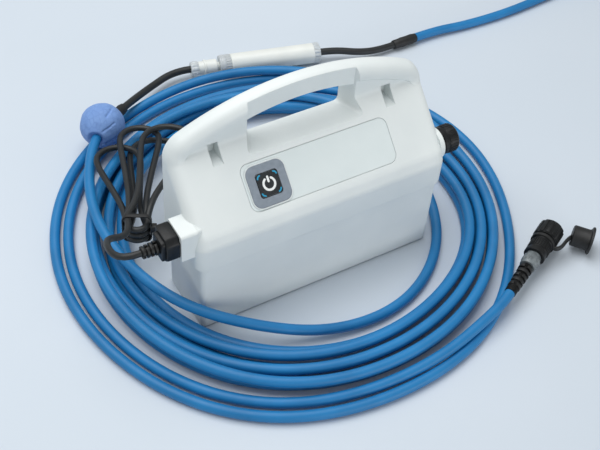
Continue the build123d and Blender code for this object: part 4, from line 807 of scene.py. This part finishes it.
mains = cord_line("mains_lead_black", mains_spots, mains_d, lead_jacket, "lead_black",
                  "mains_lead", "mains_hank", "wall_lead")

# Hank tie: a releasable strap of soft black elastomer, pulled round the four folds of the lead.
# Its locking head stands out at the side.
tie_way = Vector((0.4649, 0.8744, -0.1386)).normalized()
tie_across = tie_way.cross(Vector((0, 0, 1))).normalized()
tie_mm = (-169.1623, 60.814, 69.8216)
on_hank = facing(tie_mm, tie_across, tie_way.cross(tie_across), tie_way)
tie_loop = band(half_wide=15.4, half_high=16.8, corner=7, wall=1.4, low=-2.5, high=2.5)
tie_head = placed(prism(rounded(3.2, 4, 0.8), -3.6, 3.6), Matrix.Translation((0.017, 0, 0)))
tie_forms = [softened(tie_loop, 0.3, on_hank), softened(tie_head, 0.5, on_hank)]
fit("strap_tie", tie_forms, soft_rubber, "soft_black", "case", "hank_tie")

# Studio: a pale matt floor just below the cords, a broad soft lamp overhead, a weaker one in front and an
# even pale surround. The camera stands at the front left and looks down on the object.
floor_paint, tree, shader, where = finish("pale_matt_floor", {"Roughness": 0.6})
tree.links.new(mottle(tree, where, 400, 0.3, 0.7, "#cfd9e4", "#cbd6e1"), shader.inputs["Base Color"])
floor_half, floor_z = 9, -0.0003
sheet = bpy.data.meshes.new("floor")
corners = [(x * floor_half, y * floor_half, floor_z) for x, y in ((-1, -1), (1, -1), (1, 1), (-1, 1))]
sheet.from_pydata(corners, [], [(0, 1, 2, 3)])
floor = bpy.data.objects.new("floor", sheet)
floor.data.materials.append(floor_paint)
bpy.context.scene.collection.objects.link(floor)
world = bpy.data.worlds.new("surround")
bpy.context.scene.world = world
world.use_nodes = True
surround = world.node_tree.nodes["Background"]
surround.inputs["Color"].default_value = linear("#f6f7f5")
surround.inputs["Strength"].default_value = 0.42
lamps_aim = Vector((0, 0.05, 0))
for name, spot, size, power in (("overhead", (-0.3, 0.5, 1.9), (2.2, 1.6), 36),
                                ("front", (0.6, -2.3, 0.42), (1.8, 0.7), 15)):
    lamp = bpy.data.lights.new(name, "AREA")
    lamp.shape = "RECTANGLE"
    lamp.size, lamp.size_y = size
    lamp.energy = power
    softbox = bpy.data.objects.new(name, lamp)
    softbox.location = spot
    softbox.rotation_euler = (lamps_aim - softbox.location).to_track_quat("-Z", "Y").to_euler()
    bpy.context.scene.collection.objects.link(softbox)
view = bpy.data.cameras.new("camera")
view.lens = 66
view.sensor_width = 36
view.clip_start = 0.05
turn, lift, roll = math.radians(-33.9), math.radians(47.25), math.radians(5.29)
back = Vector((math.sin(turn) * math.cos(lift), -math.cos(turn) * math.cos(lift), math.sin(lift)))
level_right = Vector((math.cos(turn), math.sin(turn), 0))
level_up = back.cross(level_right)
right = level_right * math.cos(roll) + level_up * math.sin(roll)
up = level_up * math.cos(roll) - level_right * math.sin(roll)
camera_mm = (-451.88, -658.75, 913.5)
camera = bpy.data.objects.new("camera", view)
camera.matrix_world = facing(camera_mm, right, up, back)
bpy.context.scene.collection.objects.link(camera)
bpy.context.scene.camera = camera
bpy.context.scene.view_settings.view_transform = "Standard"
